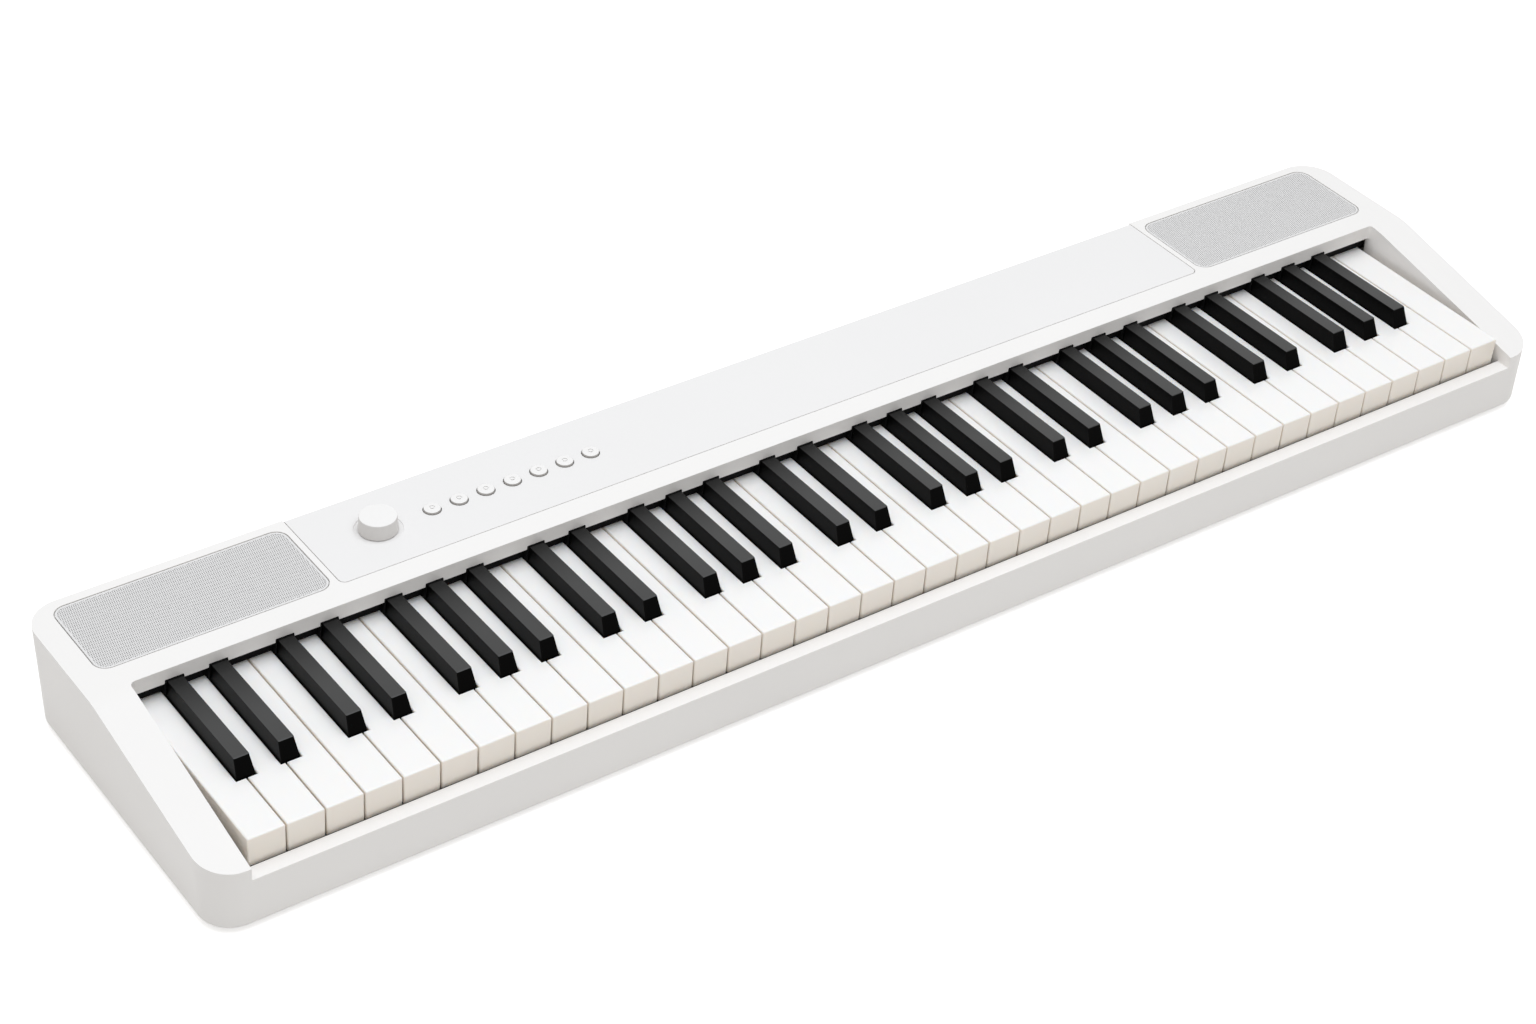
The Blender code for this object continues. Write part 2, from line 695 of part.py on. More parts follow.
def case_body(name):
    """The case's outer form: drafted walls and a round lower edge."""
    rings = []
    for step in range(LOWER_ROUND_STEPS + 1):
        angle = math.pi / 2 * step / LOWER_ROUND_STEPS
        rise = LOWER_ROUND * (1 - math.cos(angle))
        draft = DRAFT * (1 - rise / (DECK_Z - BASE_Z))
        rings.append(case_ring(draft + LOWER_ROUND * (1 - math.sin(angle)), BASE_Z + rise))
    rings.append(case_ring(0, DECK_Z + EPS))
    return lofted(name, rings)


def above_slope(name, drop, blend):
    """Everything above the cheeks' slope and the deck, lowered by a thickness, with a round between the two."""
    rise = DECK_Z - (RAIL_Z + CHEEK_STEP)
    run = WALL_Y - FRONT_Y
    out = CORNER_RADIUS
    low = RAIL_Z + CHEEK_STEP - drop - out * rise / run
    lid = DECK_Z + out
    angle = math.atan2(rise, run)
    centre = (WALL_Y + blend * math.tan(angle / 2), DECK_Z - drop - blend)
    crease = arc(centre, blend, 90 + math.degrees(angle), 90, CREASE_STEPS)
    outline = [(FRONT_Y - out, low)] + crease + [(REAR_Y + out, DECK_Z - drop)]
    outline += [(REAR_Y + out, lid), (FRONT_Y - out, lid)]
    return extruded(name, outline, -CASE_HALF - out, CASE_HALF + out, SIDE_PLANE)


def well_cutter():
    """The key well, from the rail's inner face to the wall, with its two rear corners rounded."""
    radius = WELL_RADIUS
    right = arc((WELL_HALF - radius, WALL_Y - radius), radius, 0, 90, 3)
    left = arc((-WELL_HALF + radius, WALL_Y - radius), radius, 90, 180, 3)
    outline = [(-WELL_HALF, RAIL_INNER_Y), (WELL_HALF, RAIL_INNER_Y)] + right + left
    return extruded("well", outline, BASE_Z - EPS, DECK_Z + EPS)


def case_cavity():
    """The hollow of the upper case, open below, that leaves walls round the key well and over the rail."""
    hollow = case_block("hollow", DRAFT + SHELL, BASE_Z + LOWER_ROUND, DECK_Z + EPS)
    mouth = case_block("mouth", DRAFT + SHELL + LOWER_LIP, BASE_Z - EPS, BASE_Z + LOWER_ROUND + EPS)
    combine(hollow, mouth, "UNION")
    over = above_slope("over", DECK_THICKNESS, CREASE_RADIUS - DECK_THICKNESS)
    x = WELL_HALF + SHELL
    y = (RAIL_INNER_Y - SHELL, WALL_Y + SHELL)
    wall_foot = BASE_Z + LOWER_THICKNESS + LOWER_GAP
    walls = block("walls", (-x, x), y, (wall_foot, DECK_Z + 2 * EPS))
    lip = block("lip", (-x, x), (FRONT_Y - EPS, y[0] + EPS), (RAIL_Z - SHELL, DECK_Z + 2 * EPS))
    for cutter in (over, walls, lip):
        combine(hollow, cutter)
    return settled(hollow, (mouth, over, walls, lip))


def collar_boxes(name, blacks, wide, top, y):
    """One box round each black key where it passes the wall."""
    boxes = []
    for _, key in blacks:
        half = BLACK_WIDTH / 2 + wide
        x = (key.middle - half, key.middle + half)
        boxes.append(block("box", x, y, (KEY_Z + STRIP_LIFT, top)))
    return joined(name, boxes)


def rear_bores(name, radius, y, sides=12):
    """Round bores through the rear wall, one for each socket."""
    z = MAIN_BOARD_Z + BOARD_THICKNESS + SOCKET_SIDE / 2
    bores = []
    for x in socket_places():
        middle = (x, sum(y) / 2, z)
        bores.append(round_bar("bore", middle, radius, y[1] - y[0], "Y", sides))
    return joined(name, bores)


def socket_places():
    """X of the power inlet, the pedal socket and the headphone socket."""
    return [MAIN_BOARD_X + SOCKET_PITCH * step for step in (-1, 0, 1)]


def usb_place():
    """X of the small data socket, past the round ones."""
    return MAIN_BOARD_X + SOCKET_PITCH * 2 - SOCKET_SIDE / 2


def usb_box(name, size, y):
    """A flat box at the data socket's place."""
    x = usb_place()
    z = MAIN_BOARD_Z + BOARD_THICKNESS + USB_SIZE[1] / 2 + SEAT_GAP
    return block(name, (x - size[0] / 2, x + size[0] / 2), y, (z - size[1] / 2, z + size[1] / 2))


def panel_outline(gap, back):
    """Plan of the control panel: round front corners, straight to the rear edge."""
    half = PANEL_HALF + gap
    front = PANEL_FRONT_Y - gap
    radius = PANEL_RADIUS + gap
    left = arc((-half + radius, front + radius), radius, 180, 270, 3)
    right = arc((half - radius, front + radius), radius, 270, 360, 3)
    return left + right + [(half, back), (-half, back)]


def window_span():
    """Ends of the window under the knob and the buttons."""
    last = BUTTON_X + BUTTON_PITCH * (BUTTON_COUNT - 1)
    return KNOB_X - WINDOW_MARGIN, last + WINDOW_MARGIN


def top_height(y):
    """Height of the case's upper side over its cheeks and deck."""
    slope = (DECK_Z - RAIL_Z - CHEEK_STEP) / (WALL_Y - FRONT_Y)
    return min(DECK_Z, DECK_Z + (y - WALL_Y) * slope)


def screw_columns():
    """Columns that hang from the ceiling and take the case screws, with a pilot bore each."""
    foot = BASE_Z + LOWER_THICKNESS + BOSS_HEIGHT + SEAT_GAP
    columns = []
    bores = []
    for x, y in boss_places():
        top = top_height(y + COLUMN_RADIUS) - DECK_THICKNESS + SEAT_GAP
        columns.append(round_bar("column", (x, y, (foot + top) / 2), COLUMN_RADIUS, top - foot, "Z", 8))
        middle = (x, y, foot + BOSS_HEIGHT - EPS)
        bores.append(round_bar("pilot", middle, PILOT_RADIUS, 2 * (BOSS_HEIGHT + EPS), "Z", 6))
    return joined("columns", columns), joined("pilots", bores)


def make_upper_case(blacks):
    """The outer shell: deck, cheeks, side and rear walls, front rail and the wall behind the keys."""
    body = case_body("upper")
    slope = above_slope("slope", 0, CREASE_RADIUS)
    well = well_cutter()
    rail_y = (FRONT_Y - EPS, RAIL_INNER_Y + EPS)
    rail = block("rail", (-WELL_HALF, WELL_HALF), rail_y, (RAIL_Z, DECK_Z + 2 * EPS))
    for cutter in (slope, well, rail):
        combine(body, cutter)
    soften_above(settled(body, (slope, well, rail)), EDGE_ROUND, BASE_Z + EPS)
    settled(body)
    passage_y = (WALL_Y - WELL_RADIUS - EPS, WALL_Y + SHELL + EPS)
    passage = block("passage", (-WELL_HALF, WELL_HALF), passage_y, (BASE_Z - EPS, WALL_EDGE_Z))
    top = collar_top() + SEAT_GAP
    notch_y = (WALL_Y - 2 * EPS, WALL_Y + SHELL + EPS)
    notches = collar_boxes("notches", blacks, COLLAR_GAP + COLLAR_WALL + SEAT_GAP, top, notch_y)
    cutters = [case_cavity(), passage, notches]
    for side in (-1, 1):
        x = (side * GRILLE_X - GRILLE_LENGTH / 2 - SEAT_GAP, side * GRILLE_X + GRILLE_LENGTH / 2 + SEAT_GAP)
        y = (GRILLE_Y - GRILLE_DEPTH / 2 - SEAT_GAP, GRILLE_Y + GRILLE_DEPTH / 2 + SEAT_GAP)
        bed = DECK_Z - GRILLE_SINK - GRILLE_SHEET - SEAT_GAP
        outline = rounded_rectangle(x, y, GRILLE_RADIUS + SEAT_GAP, 4)
        cutters.append(extruded("grille_bed", outline, bed, DECK_Z + EPS))
        length = SPEAKER_LENGTH - 2 * SPEAKER_RIM
        mouth = stadium((side * GRILLE_X, GRILLE_Y), length, SPEAKER_WIDTH - 2 * SPEAKER_RIM)
        cutters.append(extruded("speaker_mouth", mouth, CEILING_Z - EPS, DECK_Z))
    bed = DECK_Z - PANEL_THICKNESS - SEAT_GAP
    cutters.append(extruded("panel_bed", panel_outline(SEAT_GAP, REAR_Y + EPS), bed, DECK_Z + EPS))
    y = (CONTROL_Y - WINDOW_DEPTH / 2, CONTROL_Y + WINDOW_DEPTH / 2)
    cutters.append(block("window", window_span(), y, (CEILING_Z - EPS, DECK_Z)))
    reach = (INNER_REAR_Y - EPS, REAR_Y + EPS)
    cutters.append(rear_bores("socket_bores", SOCKET_NOSE + BORE_GAP, reach))
    usb = (USB_SIZE[0] + 2 * BORE_GAP, USB_SIZE[1] + 2 * BORE_GAP)
    cutters.append(usb_box("usb_slot", usb, reach))
    for cutter in cutters:
        combine(body, cutter)
    columns, pilots = screw_columns()
    combine(body, columns, "UNION")
    combine(body, pilots)
    make_part(settled(body, cutters + [columns, pilots]), "upper_case", CASE_WHITE)


def collar_top():
    """Height of the collars' upper side."""
    return KEY_Z + BLACK_HEIGHT - BLACK_FALL + COLLAR_GAP + COLLAR_WALL


def make_collar_strip(blacks):
    """The dark strip behind the wall, with a collar that stands through the wall round each black key."""
    x = WELL_HALF - WELL_RADIUS
    y = (STRIP_Y, STRIP_Y + STRIP_THICKNESS)
    strip = block("strip", (-x, x), y, (KEY_Z + STRIP_LIFT, CEILING_Z - STRIP_TOP_GAP))
    collar_y = (WALL_Y - COLLAR_PROUD, STRIP_Y + STRIP_THICKNESS / 2)
    collars = collar_boxes("collars", blacks, COLLAR_GAP + COLLAR_WALL, collar_top(), collar_y)
    combine(strip, collars, "UNION")
    slot_y = (WALL_Y - COLLAR_PROUD - EPS, y[1] + EPS)
    slots = collar_boxes("slots", blacks, COLLAR_GAP, collar_top() - COLLAR_WALL, slot_y)
    carry_down(slots, STRIP_LIFT)
    combine(strip, slots)
    make_part(settled(strip, (collars, slots)), "collar_strip", STRIP_BLACK)


def carry_down(obj, drop):
    """Carries a mesh's lower points down, so that a cutter runs out of its target."""
    floor = min(vertex.co.z for vertex in obj.data.vertices)
    for vertex in obj.data.vertices:
        if vertex.co.z < floor + drop / 2:
            vertex.co.z -= drop


def make_deck_fittings():
    """The two grilles, the speakers under them and the control panel."""
    for side, label in ((-1, "left"), (1, "right")):
        middle = (side * GRILLE_X, GRILLE_Y)
        x = (middle[0] - GRILLE_LENGTH / 2, middle[0] + GRILLE_LENGTH / 2)
        y = (GRILLE_Y - GRILLE_DEPTH / 2, GRILLE_Y + GRILLE_DEPTH / 2)
        top = DECK_Z - GRILLE_SINK
        sheet = extruded("sheet", rounded_rectangle(x, y, GRILLE_RADIUS, 4), top - GRILLE_SHEET, top)
        make_part(sheet, f"grille_{label}", GRILLE_GREY, (*middle, top))
        make_part(speaker(middle), f"speaker_{label}", SPEAKER_BLACK, (*middle, CEILING_Z))
    top = DECK_Z
    panel = extruded("panel", panel_outline(0, REAR_Y - EDGE_ROUND / 2), top - PANEL_THICKNESS, top)
    rear_edge = [vertex for vertex in panel.data.vertices if vertex.co.y > REAR_Y - EDGE_ROUND]
    for vertex in rear_edge:
        if vertex.co.z > top - PANEL_THICKNESS / 2:
            vertex.co.y -= EDGE_ROUND / 2
    dish_middle = (KNOB_X, CONTROL_Y, top)
    dish = round_bar("dish", dish_middle, DISH_RADIUS, 2 * DISH_DEPTH, "Z", 32)
    bores = [round_bar("bore", dish_middle, SHAFT_RADIUS + BORE_GAP, 4 * PANEL_THICKNESS, "Z", 12)]
    for x in button_places():
        bores.append(round_bar("bore", (x, CONTROL_Y, top), BUTTON_RADIUS + BORE_GAP, 4 * PANEL_THICKNESS))
    holes = joined("holes", bores)
    combine(panel, dish)
    combine(panel, holes)
    make_part(settled(panel, (dish, holes)), "control_panel", PANEL_WHITE)


def speaker(middle):
    """An oval driver: flange, tapered basket, magnet and the hollow of its cone."""
    top = CEILING_Z - SEAT_GAP
    low = top - SPEAKER_FLANGE
    body = extruded("flange", stadium(middle, SPEAKER_LENGTH, SPEAKER_WIDTH), low, top)
    length = SPEAKER_LENGTH - 2 * SPEAKER_RIM
    width = SPEAKER_WIDTH - 2 * SPEAKER_RIM
    basket = extruded("basket", stadium(middle, length, width), low - BASKET_DEPTH, low + EPS)
    draw_in(basket, middle, BASKET_SHARE, low - BASKET_DEPTH / 2, below=True)
    magnet_top = low - BASKET_DEPTH + EPS
    magnet_middle = (*middle, magnet_top - MAGNET_DEPTH / 2)
    magnet = round_bar("magnet", magnet_middle, MAGNET_RADIUS, MAGNET_DEPTH, "Z", 20)
    cone_length = length - 2 * SPEAKER_FLANGE
    cone_width = width - 2 * SPEAKER_FLANGE
    cone = extruded("cone", stadium(middle, cone_length, cone_width), top - CONE_DEPTH, top + EPS)
    draw_in(cone, middle, BASKET_SHARE, top - CONE_DEPTH / 2, below=True)
    combine(body, basket, "UNION")
    combine(body, magnet, "UNION")
    combine(body, cone)
    return settled(body, (basket, magnet, cone))


def draw_in(obj, middle, share, level, below):
    """Scales the points below or above a level towards the middle."""
    for vertex in obj.data.vertices:
        if (vertex.co.z < level) == below:
            vertex.co.x = middle[0] + (vertex.co.x - middle[0]) * share
            vertex.co.y = middle[1] + (vertex.co.y - middle[1]) * share


def button_places():
    """X of each push button, from the one beside the knob."""
    start = BUTTON_X
    return [start + BUTTON_PITCH * i for i in range(BUTTON_COUNT)]


def make_controls():
    """The volume knob and the push buttons, with their shaft and stems."""
    foot = DECK_Z - DISH_DEPTH + KNOB_LIFT
    top = foot + KNOB_HEIGHT
    middle = (KNOB_X, CONTROL_Y, (foot + top) / 2)
    knob = round_bar("knob", middle, KNOB_RADIUS, KNOB_HEIGHT, "Z", 32, KNOB_RADIUS - KNOB_TAPER)
    soften(knob, KNOB_ROUND, 1, math.radians(60))
    settled(knob)
    shaft_foot = pot_top() - SHAFT_IN_POT
    shaft_span = foot + KNOB_HEIGHT / 2 - shaft_foot
    shaft_middle = (KNOB_X, CONTROL_Y, shaft_foot + shaft_span / 2)
    shaft = round_bar("shaft", shaft_middle, SHAFT_RADIUS, shaft_span, "Z", 12)
    combine(knob, shaft, "UNION")
    make_part(settled(knob, (shaft,)), "volume_knob", CASE_WHITE, (KNOB_X, CONTROL_Y, foot))
    for number, x in enumerate(button_places(), 1):
        origin = (x, CONTROL_Y, DECK_Z)
        make_part(push_button(x), f"button_{number}", CASE_WHITE, origin)


def push_button(x):
    """A round cap with a low crown, a flange that holds it under the panel and a stem."""
    under = DECK_Z - PANEL_THICKNESS - SEAT_GAP
    low = under - BUTTON_FLANGE_HEIGHT
    high = DECK_Z + BUTTON_PROUD - BUTTON_CROWN
    cap = round_bar("cap", (x, CONTROL_Y, (low + high) / 2), BUTTON_RADIUS, high - low)
    bm = bmesh.new()
    bm.from_mesh(cap.data)
    lid = max(bm.faces, key=lambda face: face.calc_center_median().z)
    bmesh.ops.inset_region(bm, faces=[lid], thickness=2 * BUTTON_CROWN)
    bmesh.ops.translate(bm, vec=(0, 0, BUTTON_CROWN), verts=lid.verts)
    bm.to_mesh(cap.data)
    bm.free()
    flange_middle = (x, CONTROL_Y, under - BUTTON_FLANGE_HEIGHT / 2)
    flange = round_bar("flange", flange_middle, BUTTON_RADIUS + BUTTON_FLANGE, BUTTON_FLANGE_HEIGHT)
    stem_foot = PANEL_BOARD_Z + SWITCH_HEIGHT + BUTTON_TRAVEL + SEAT_GAP
    stem_middle = (x, CONTROL_Y, (stem_foot + under) / 2)
    stem = round_bar("stem", stem_middle, BUTTON_STEM_RADIUS, under - stem_foot, "Z", 6)
    combine(cap, flange, "UNION")
    combine(cap, stem, "UNION")
    return settled(cap, (flange, stem))


def pot_top():
    """Height of the potentiometer's upper side."""
    return PANEL_BOARD_Z + POT_HEIGHT


def make_panel_board():
    """The board under the panel: a switch for each button, the potentiometer and four posts."""
    span = window_span()
    margin = 3 * POST_RADIUS
    x = (span[0] - margin, span[1] + margin)
    y = (CONTROL_Y - WINDOW_DEPTH / 2 - margin, CONTROL_Y + WINDOW_DEPTH / 2 + margin)
    z = (PANEL_BOARD_Z - BOARD_THICKNESS, PANEL_BOARD_Z)
    board = block("board", x, y, z)
    pieces = []
    for place in button_places():
        half = SWITCH_SIDE / 2
        side_x = (place - half, place + half)
        side_y = (CONTROL_Y - half, CONTROL_Y + half)
        pieces.append(block("switch", side_x, side_y, (z[0] + EPS / 2, PANEL_BOARD_Z + SWITCH_HEIGHT)))
    half = POT_SIDE / 2
    pot_x = (KNOB_X - half, KNOB_X + half)
    pot_y = (CONTROL_Y - half, CONTROL_Y + half)
    pieces.append(block("pot", pot_x, pot_y, (z[0] + EPS / 2, pot_top())))
    post_top = CEILING_Z - SEAT_GAP
    for px in (x[0] + POST_RADIUS + EPS, x[1] - POST_RADIUS - EPS):
        for py in (y[0] + POST_RADIUS + EPS, y[1] - POST_RADIUS - EPS):
            middle = (px, py, (z[0] + EPS / 2 + post_top) / 2)
            pieces.append(round_bar("post", middle, POST_RADIUS, post_top - z[0] - EPS / 2, "Z", 8))
    fittings = joined("fittings", pieces)
    depth = SHAFT_IN_POT + SHAFT_GAP
    bore_middle = (KNOB_X, CONTROL_Y, pot_top() - depth / 2 + EPS)
    bore = round_bar("bore", bore_middle, SHAFT_RADIUS + SHAFT_GAP, depth + 2 * EPS, "Z", 12)
    combine(board, fittings, "UNION")
    combine(board, bore)
    make_part(settled(board, (fittings, bore)), "panel_board", BOARD_GREEN)


def web_places(whites):
    """X of the chassis webs that hold the rod: at both ends and between the banks of keys."""
    places = [whites[0].tail - TAIL_WIDTH / 2 - WEB_THICKNESS]
    for before, after in zip(whites, whites[1:-1]):
        if before.letter == "B":
            places.append((before.tail + after.tail) / 2)
    places.append(whites[-1].tail + TAIL_WIDTH / 2 + WEB_THICKNESS)
    return places


def web_outline():
    """Side outline of a web, with the open seat that the rod lies in."""
    low = CHASSIS_Z + EPS / 2
    front = PIVOT_Y - WEB_AHEAD
    rear = PIVOT_Y + WEB_BEHIND
    seat = arc((PIVOT_Y, PIVOT_Z), SADDLE_RADIUS, 180, 360, 4)
    foot = [(rear, PIVOT_Z), (rear, low), (front, low), (front, KEY_BASE_Z)]
    return [(PIVOT_Y - 2 * SADDLE_RADIUS, PIVOT_Z)] + seat + foot


def make_chassis(whites, blacks):
    """The chassis: base, guide rails with a post for each key, contact ledge, beam and rod webs."""
    half = WELL_HALF - CHASSIS_CLEAR
    y = (KEY_Y + CHASSIS_FRONT, CHASSIS_REAR_Y)
    base_top = CHASSIS_Z + CHASSIS_BASE
    chassis = block("chassis", (-half, half), y, (CHASSIS_Z, base_top))
    low = CHASSIS_Z + EPS / 2
    rails = []
    front_guide = (y[0] + EPS / 2, KEY_Y + CHASSIS_FRONT + GUIDE_DEPTH + FELT_BACK)
    rails.append(block("white_guide", (-half + EPS, half - EPS), front_guide, (low, GUIDE_TOP_Z)))
    back_guide = (KEY_Y + BLACK_POST_BACK - POST_DEPTH, KEY_Y + BLACK_POST_BACK + POST_DEPTH)
    rails.append(block("black_guide", (-half + EPS, half - EPS), back_guide, (low, GUIDE_TOP_Z)))
    ledge = (KEY_Y + ACTUATOR_BACK - CONTACT_DEPTH / 2, KEY_Y + ACTUATOR_BACK + CONTACT_DEPTH / 2)
    rails.append(block("ledge", (-half + EPS, half - EPS), ledge, (low, LEDGE_Z)))
    beam = (KEY_Y + BEAM_BACK - BEAM_DEPTH / 2, KEY_Y + BEAM_BACK + BEAM_DEPTH / 2)
    rails.append(block("beam", (-half + EPS, half - EPS), beam, (low, GUIDE_TOP_Z)))
    for x in web_places(whites):
        ends = (x - WEB_THICKNESS / 2, x + WEB_THICKNESS / 2)
        rails.append(extruded("web", web_outline(), ends[0], ends[1], SIDE_PLANE))
    rails = joined("rails", rails)
    top = KEY_BASE_Z + POST_REACH
    posts = [guide_post(key.middle, WHITE_POST_WIDTH, WHITE_POST_BACK, top) for key in whites]
    posts += [guide_post(key.middle, BLACK_POST_WIDTH, BLACK_POST_BACK, top) for _, key in blacks]
    posts = joined("posts", posts)
    combine(chassis, rails, "UNION")
    combine(chassis, posts, "UNION")
    make_part(settled(chassis, (rails, posts)), "key_chassis", CHASSIS_GREY)


def guide_post(x, width, back, top):
    """A post that a key's hollow slides over."""
    y = (KEY_Y + back - POST_DEPTH / 2, KEY_Y + back + POST_DEPTH / 2)
    return block("post", (x - width / 2, x + width / 2), y, (GUIDE_TOP_Z - EPS, top))


def make_keybed_fittings(whites, blacks):
    """The pivot rod, the felt, the spring comb, the contact board and its dome strip."""
    places = web_places(whites)
    length = places[-1] - places[0] + 2 * WEB_THICKNESS
    middle = ((places[0] + places[-1]) / 2, PIVOT_Y, PIVOT_Z)
    make_part(round_bar("rod", middle, ROD_RADIUS, length, "X", 12), "pivot_rod", STEEL, middle)
    half = KEYS_LENGTH / 2
    felt_y = (KEY_Y + FELT_BACK, KEY_Y + FELT_BACK + FELT_DEPTH)
    felt = block("felt", (-half, half), felt_y, (FELT_Z, FELT_Z + FELT_THICKNESS - 2 * SEAT_GAP))
    make_part(felt, "stop_felt", FELT_GREEN, (0, felt_y[0], FELT_Z))
    keys = whites + [key for _, key in blacks]
    make_part(spring_comb(keys), "spring_comb", STEEL)
    contact_y = (KEY_Y + ACTUATOR_BACK - CONTACT_DEPTH / 2, KEY_Y + ACTUATOR_BACK + CONTACT_DEPTH / 2)
    board = block("board", (-half, half), contact_y, (CONTACT_TOP_Z - BOARD_THICKNESS, CONTACT_TOP_Z))
    make_part(board, "contact_board", BOARD_GREEN, (0, KEY_Y + ACTUATOR_BACK, CONTACT_TOP_Z))
    inner_y = (contact_y[0] + EPS, contact_y[1] - EPS)
    strip = block("strip", (-half, half), inner_y, (DOME_BASE_Z, DOME_BASE_Z + DOME_BASE))
    domes = []
    for key in keys:
        z = DOME_BASE_Z + DOME_BASE / 2
        dome_middle = (key.tail, KEY_Y + ACTUATOR_BACK, (z + DOME_TOP_Z) / 2)
        domes.append(round_bar("dome", dome_middle, DOME_RADIUS, DOME_TOP_Z - z, "Z", 6, DOME_TOP_RADIUS))
    domes = joined("domes", domes)
    combine(strip, domes, "UNION")
    make_part(settled(strip, (domes,)), "dome_strip", SILICONE, (0, KEY_Y + ACTUATOR_BACK, DOME_BASE_Z))


def spring_comb(keys):
    """One sheet-metal comb with a bent finger under each key's tail, clear of the fully pressed tail."""
    low = GUIDE_TOP_Z + SEAT_GAP
    sheet = SPRING_SHEET
    tip_y = PIVOT_Y - SPRING_AHEAD
    dip = DIP_SINE * (PIVOT_Y - tip_y + 2 * SPRING_WIDTH)
    tip_z = TAIL_BASE_Z - dip - SPRING_GAP
    root_y = KEY_Y + BEAM_BACK
    bend_y = root_y + SPRING_WIDTH / 2
    outline = [(root_y, low + sheet), (root_y, low), (bend_y, low)]
    outline += [(tip_y, tip_z - sheet), (tip_y, tip_z), (bend_y - sheet, low + sheet)]
    fingers = []
    for key in keys:
        x = (key.tail - SPRING_WIDTH / 2, key.tail + SPRING_WIDTH / 2)
        fingers.append(extruded("finger", outline, x[0], x[1], SIDE_PLANE))
    fingers = joined("fingers", fingers)
    half = KEYS_LENGTH / 2
    y = (root_y - BEAM_DEPTH / 2 + EPS, root_y + EPS)
    comb = block("comb", (-half, half), y, (low - SEAT_GAP / 3, low + sheet + SEAT_GAP / 3))
    combine(comb, fingers, "UNION")
    return settled(comb, (fingers,))


def boss_places():
    """Where the case screws go in from below: a row along the front rail and one along the rear."""
    places = [(x, REAR_Y - BOSS_INSET) for x in REAR_BOSS_X]
    for x in (REAR_BOSS_X[0], REAR_BOSS_X[-1]):
        places.append((x, FRONT_Y + 2 * BOSS_INSET))
    return places


def foot_places():
    """The four feet, set in from the corners."""
    x = CASE_HALF - FOOT_INSET_X
    return [(sx * x, sy * (CASE_DEPTH / 2 - FOOT_INSET_Y)) for sy in (-1, 1) for sx in (-1, 1)]


def make_lower_case():
    """The bottom cover: plate, ribs under the chassis, screw bosses, board posts and seats for the feet."""
    inset = DRAFT + SHELL + LOWER_LIP + LOWER_GAP
    floor = BASE_Z + LOWER_THICKNESS
    plate = case_block("lower", inset, BASE_Z, floor)
    pieces = []
    rib_top = CHASSIS_Z - SEAT_GAP
    half = WELL_HALF - 2 * SHELL
    for back in RIB_BACKS:
        y = (KEY_Y + back - RIB_THICKNESS / 2, KEY_Y + back + RIB_THICKNESS / 2)
        pieces.append(block("rib", (-half, half), y, (floor - EPS, rib_top)))
    for x, y in boss_places():
        middle = (x, y, floor + BOSS_HEIGHT / 2 - EPS / 2)
        pieces.append(round_bar("boss", middle, BOSS_RADIUS, BOSS_HEIGHT + EPS, "Z", 10))
    board_y = main_board_span()
    post_top = MAIN_BOARD_Z - SEAT_GAP
    for side in (-1, 1):
        x = MAIN_BOARD_X + side * (MAIN_BOARD_LENGTH / 2 - POST_INSET)
        for y in board_y[0] + POST_INSET, board_y[1] - POST_INSET - LOWER_LIP:
            middle = (x, y, (floor - EPS + post_top) / 2)
            pieces.append(round_bar("post", middle, MAIN_POST / 2, post_top - floor + EPS, "Z", 8))
    fittings = joined("fittings", pieces)
    sinks = []
    for x, y in boss_places():
        depth = LOWER_THICKNESS + BOSS_HEIGHT - SCREW_FLOOR
        middle = (x, y, BASE_Z + depth / 2 - EPS)
        sinks.append(round_bar("sink", middle, SCREW_BORE, depth + 2 * EPS, "Z", 10))
    for x, y in foot_places():
        sinks.append(round_bar("seat", (x, y, BASE_Z), FOOT_RADIUS + SEAT_GAP, 2 * FOOT_SEAT, "Z", 20))
    sinks = joined("sinks", sinks)
    combine(plate, fittings, "UNION")
    combine(plate, sinks)
    make_part(settled(plate, (fittings, sinks)), "lower_case", CASE_WHITE)


def make_feet():
    """Four rubber feet in shallow seats."""
    top = BASE_Z + FOOT_SEAT - SEAT_GAP
    names = ("front_left", "front_right", "rear_left", "rear_right")
    for name, (x, y) in zip(names, foot_places()):
        foot = round_bar("foot", (x, y, top / 2), FOOT_RADIUS - FOOT_ROUND, top, "Z", 20, FOOT_RADIUS)
        make_part(foot, f"foot_{name}", RUBBER_GREY, (x, y, 0))


def main_board_span():
    """Front and rear edge of the main board."""
    rear = INNER_REAR_Y - BORE_GAP
    return CHASSIS_REAR_Y + MAIN_BOARD_GAP, rear


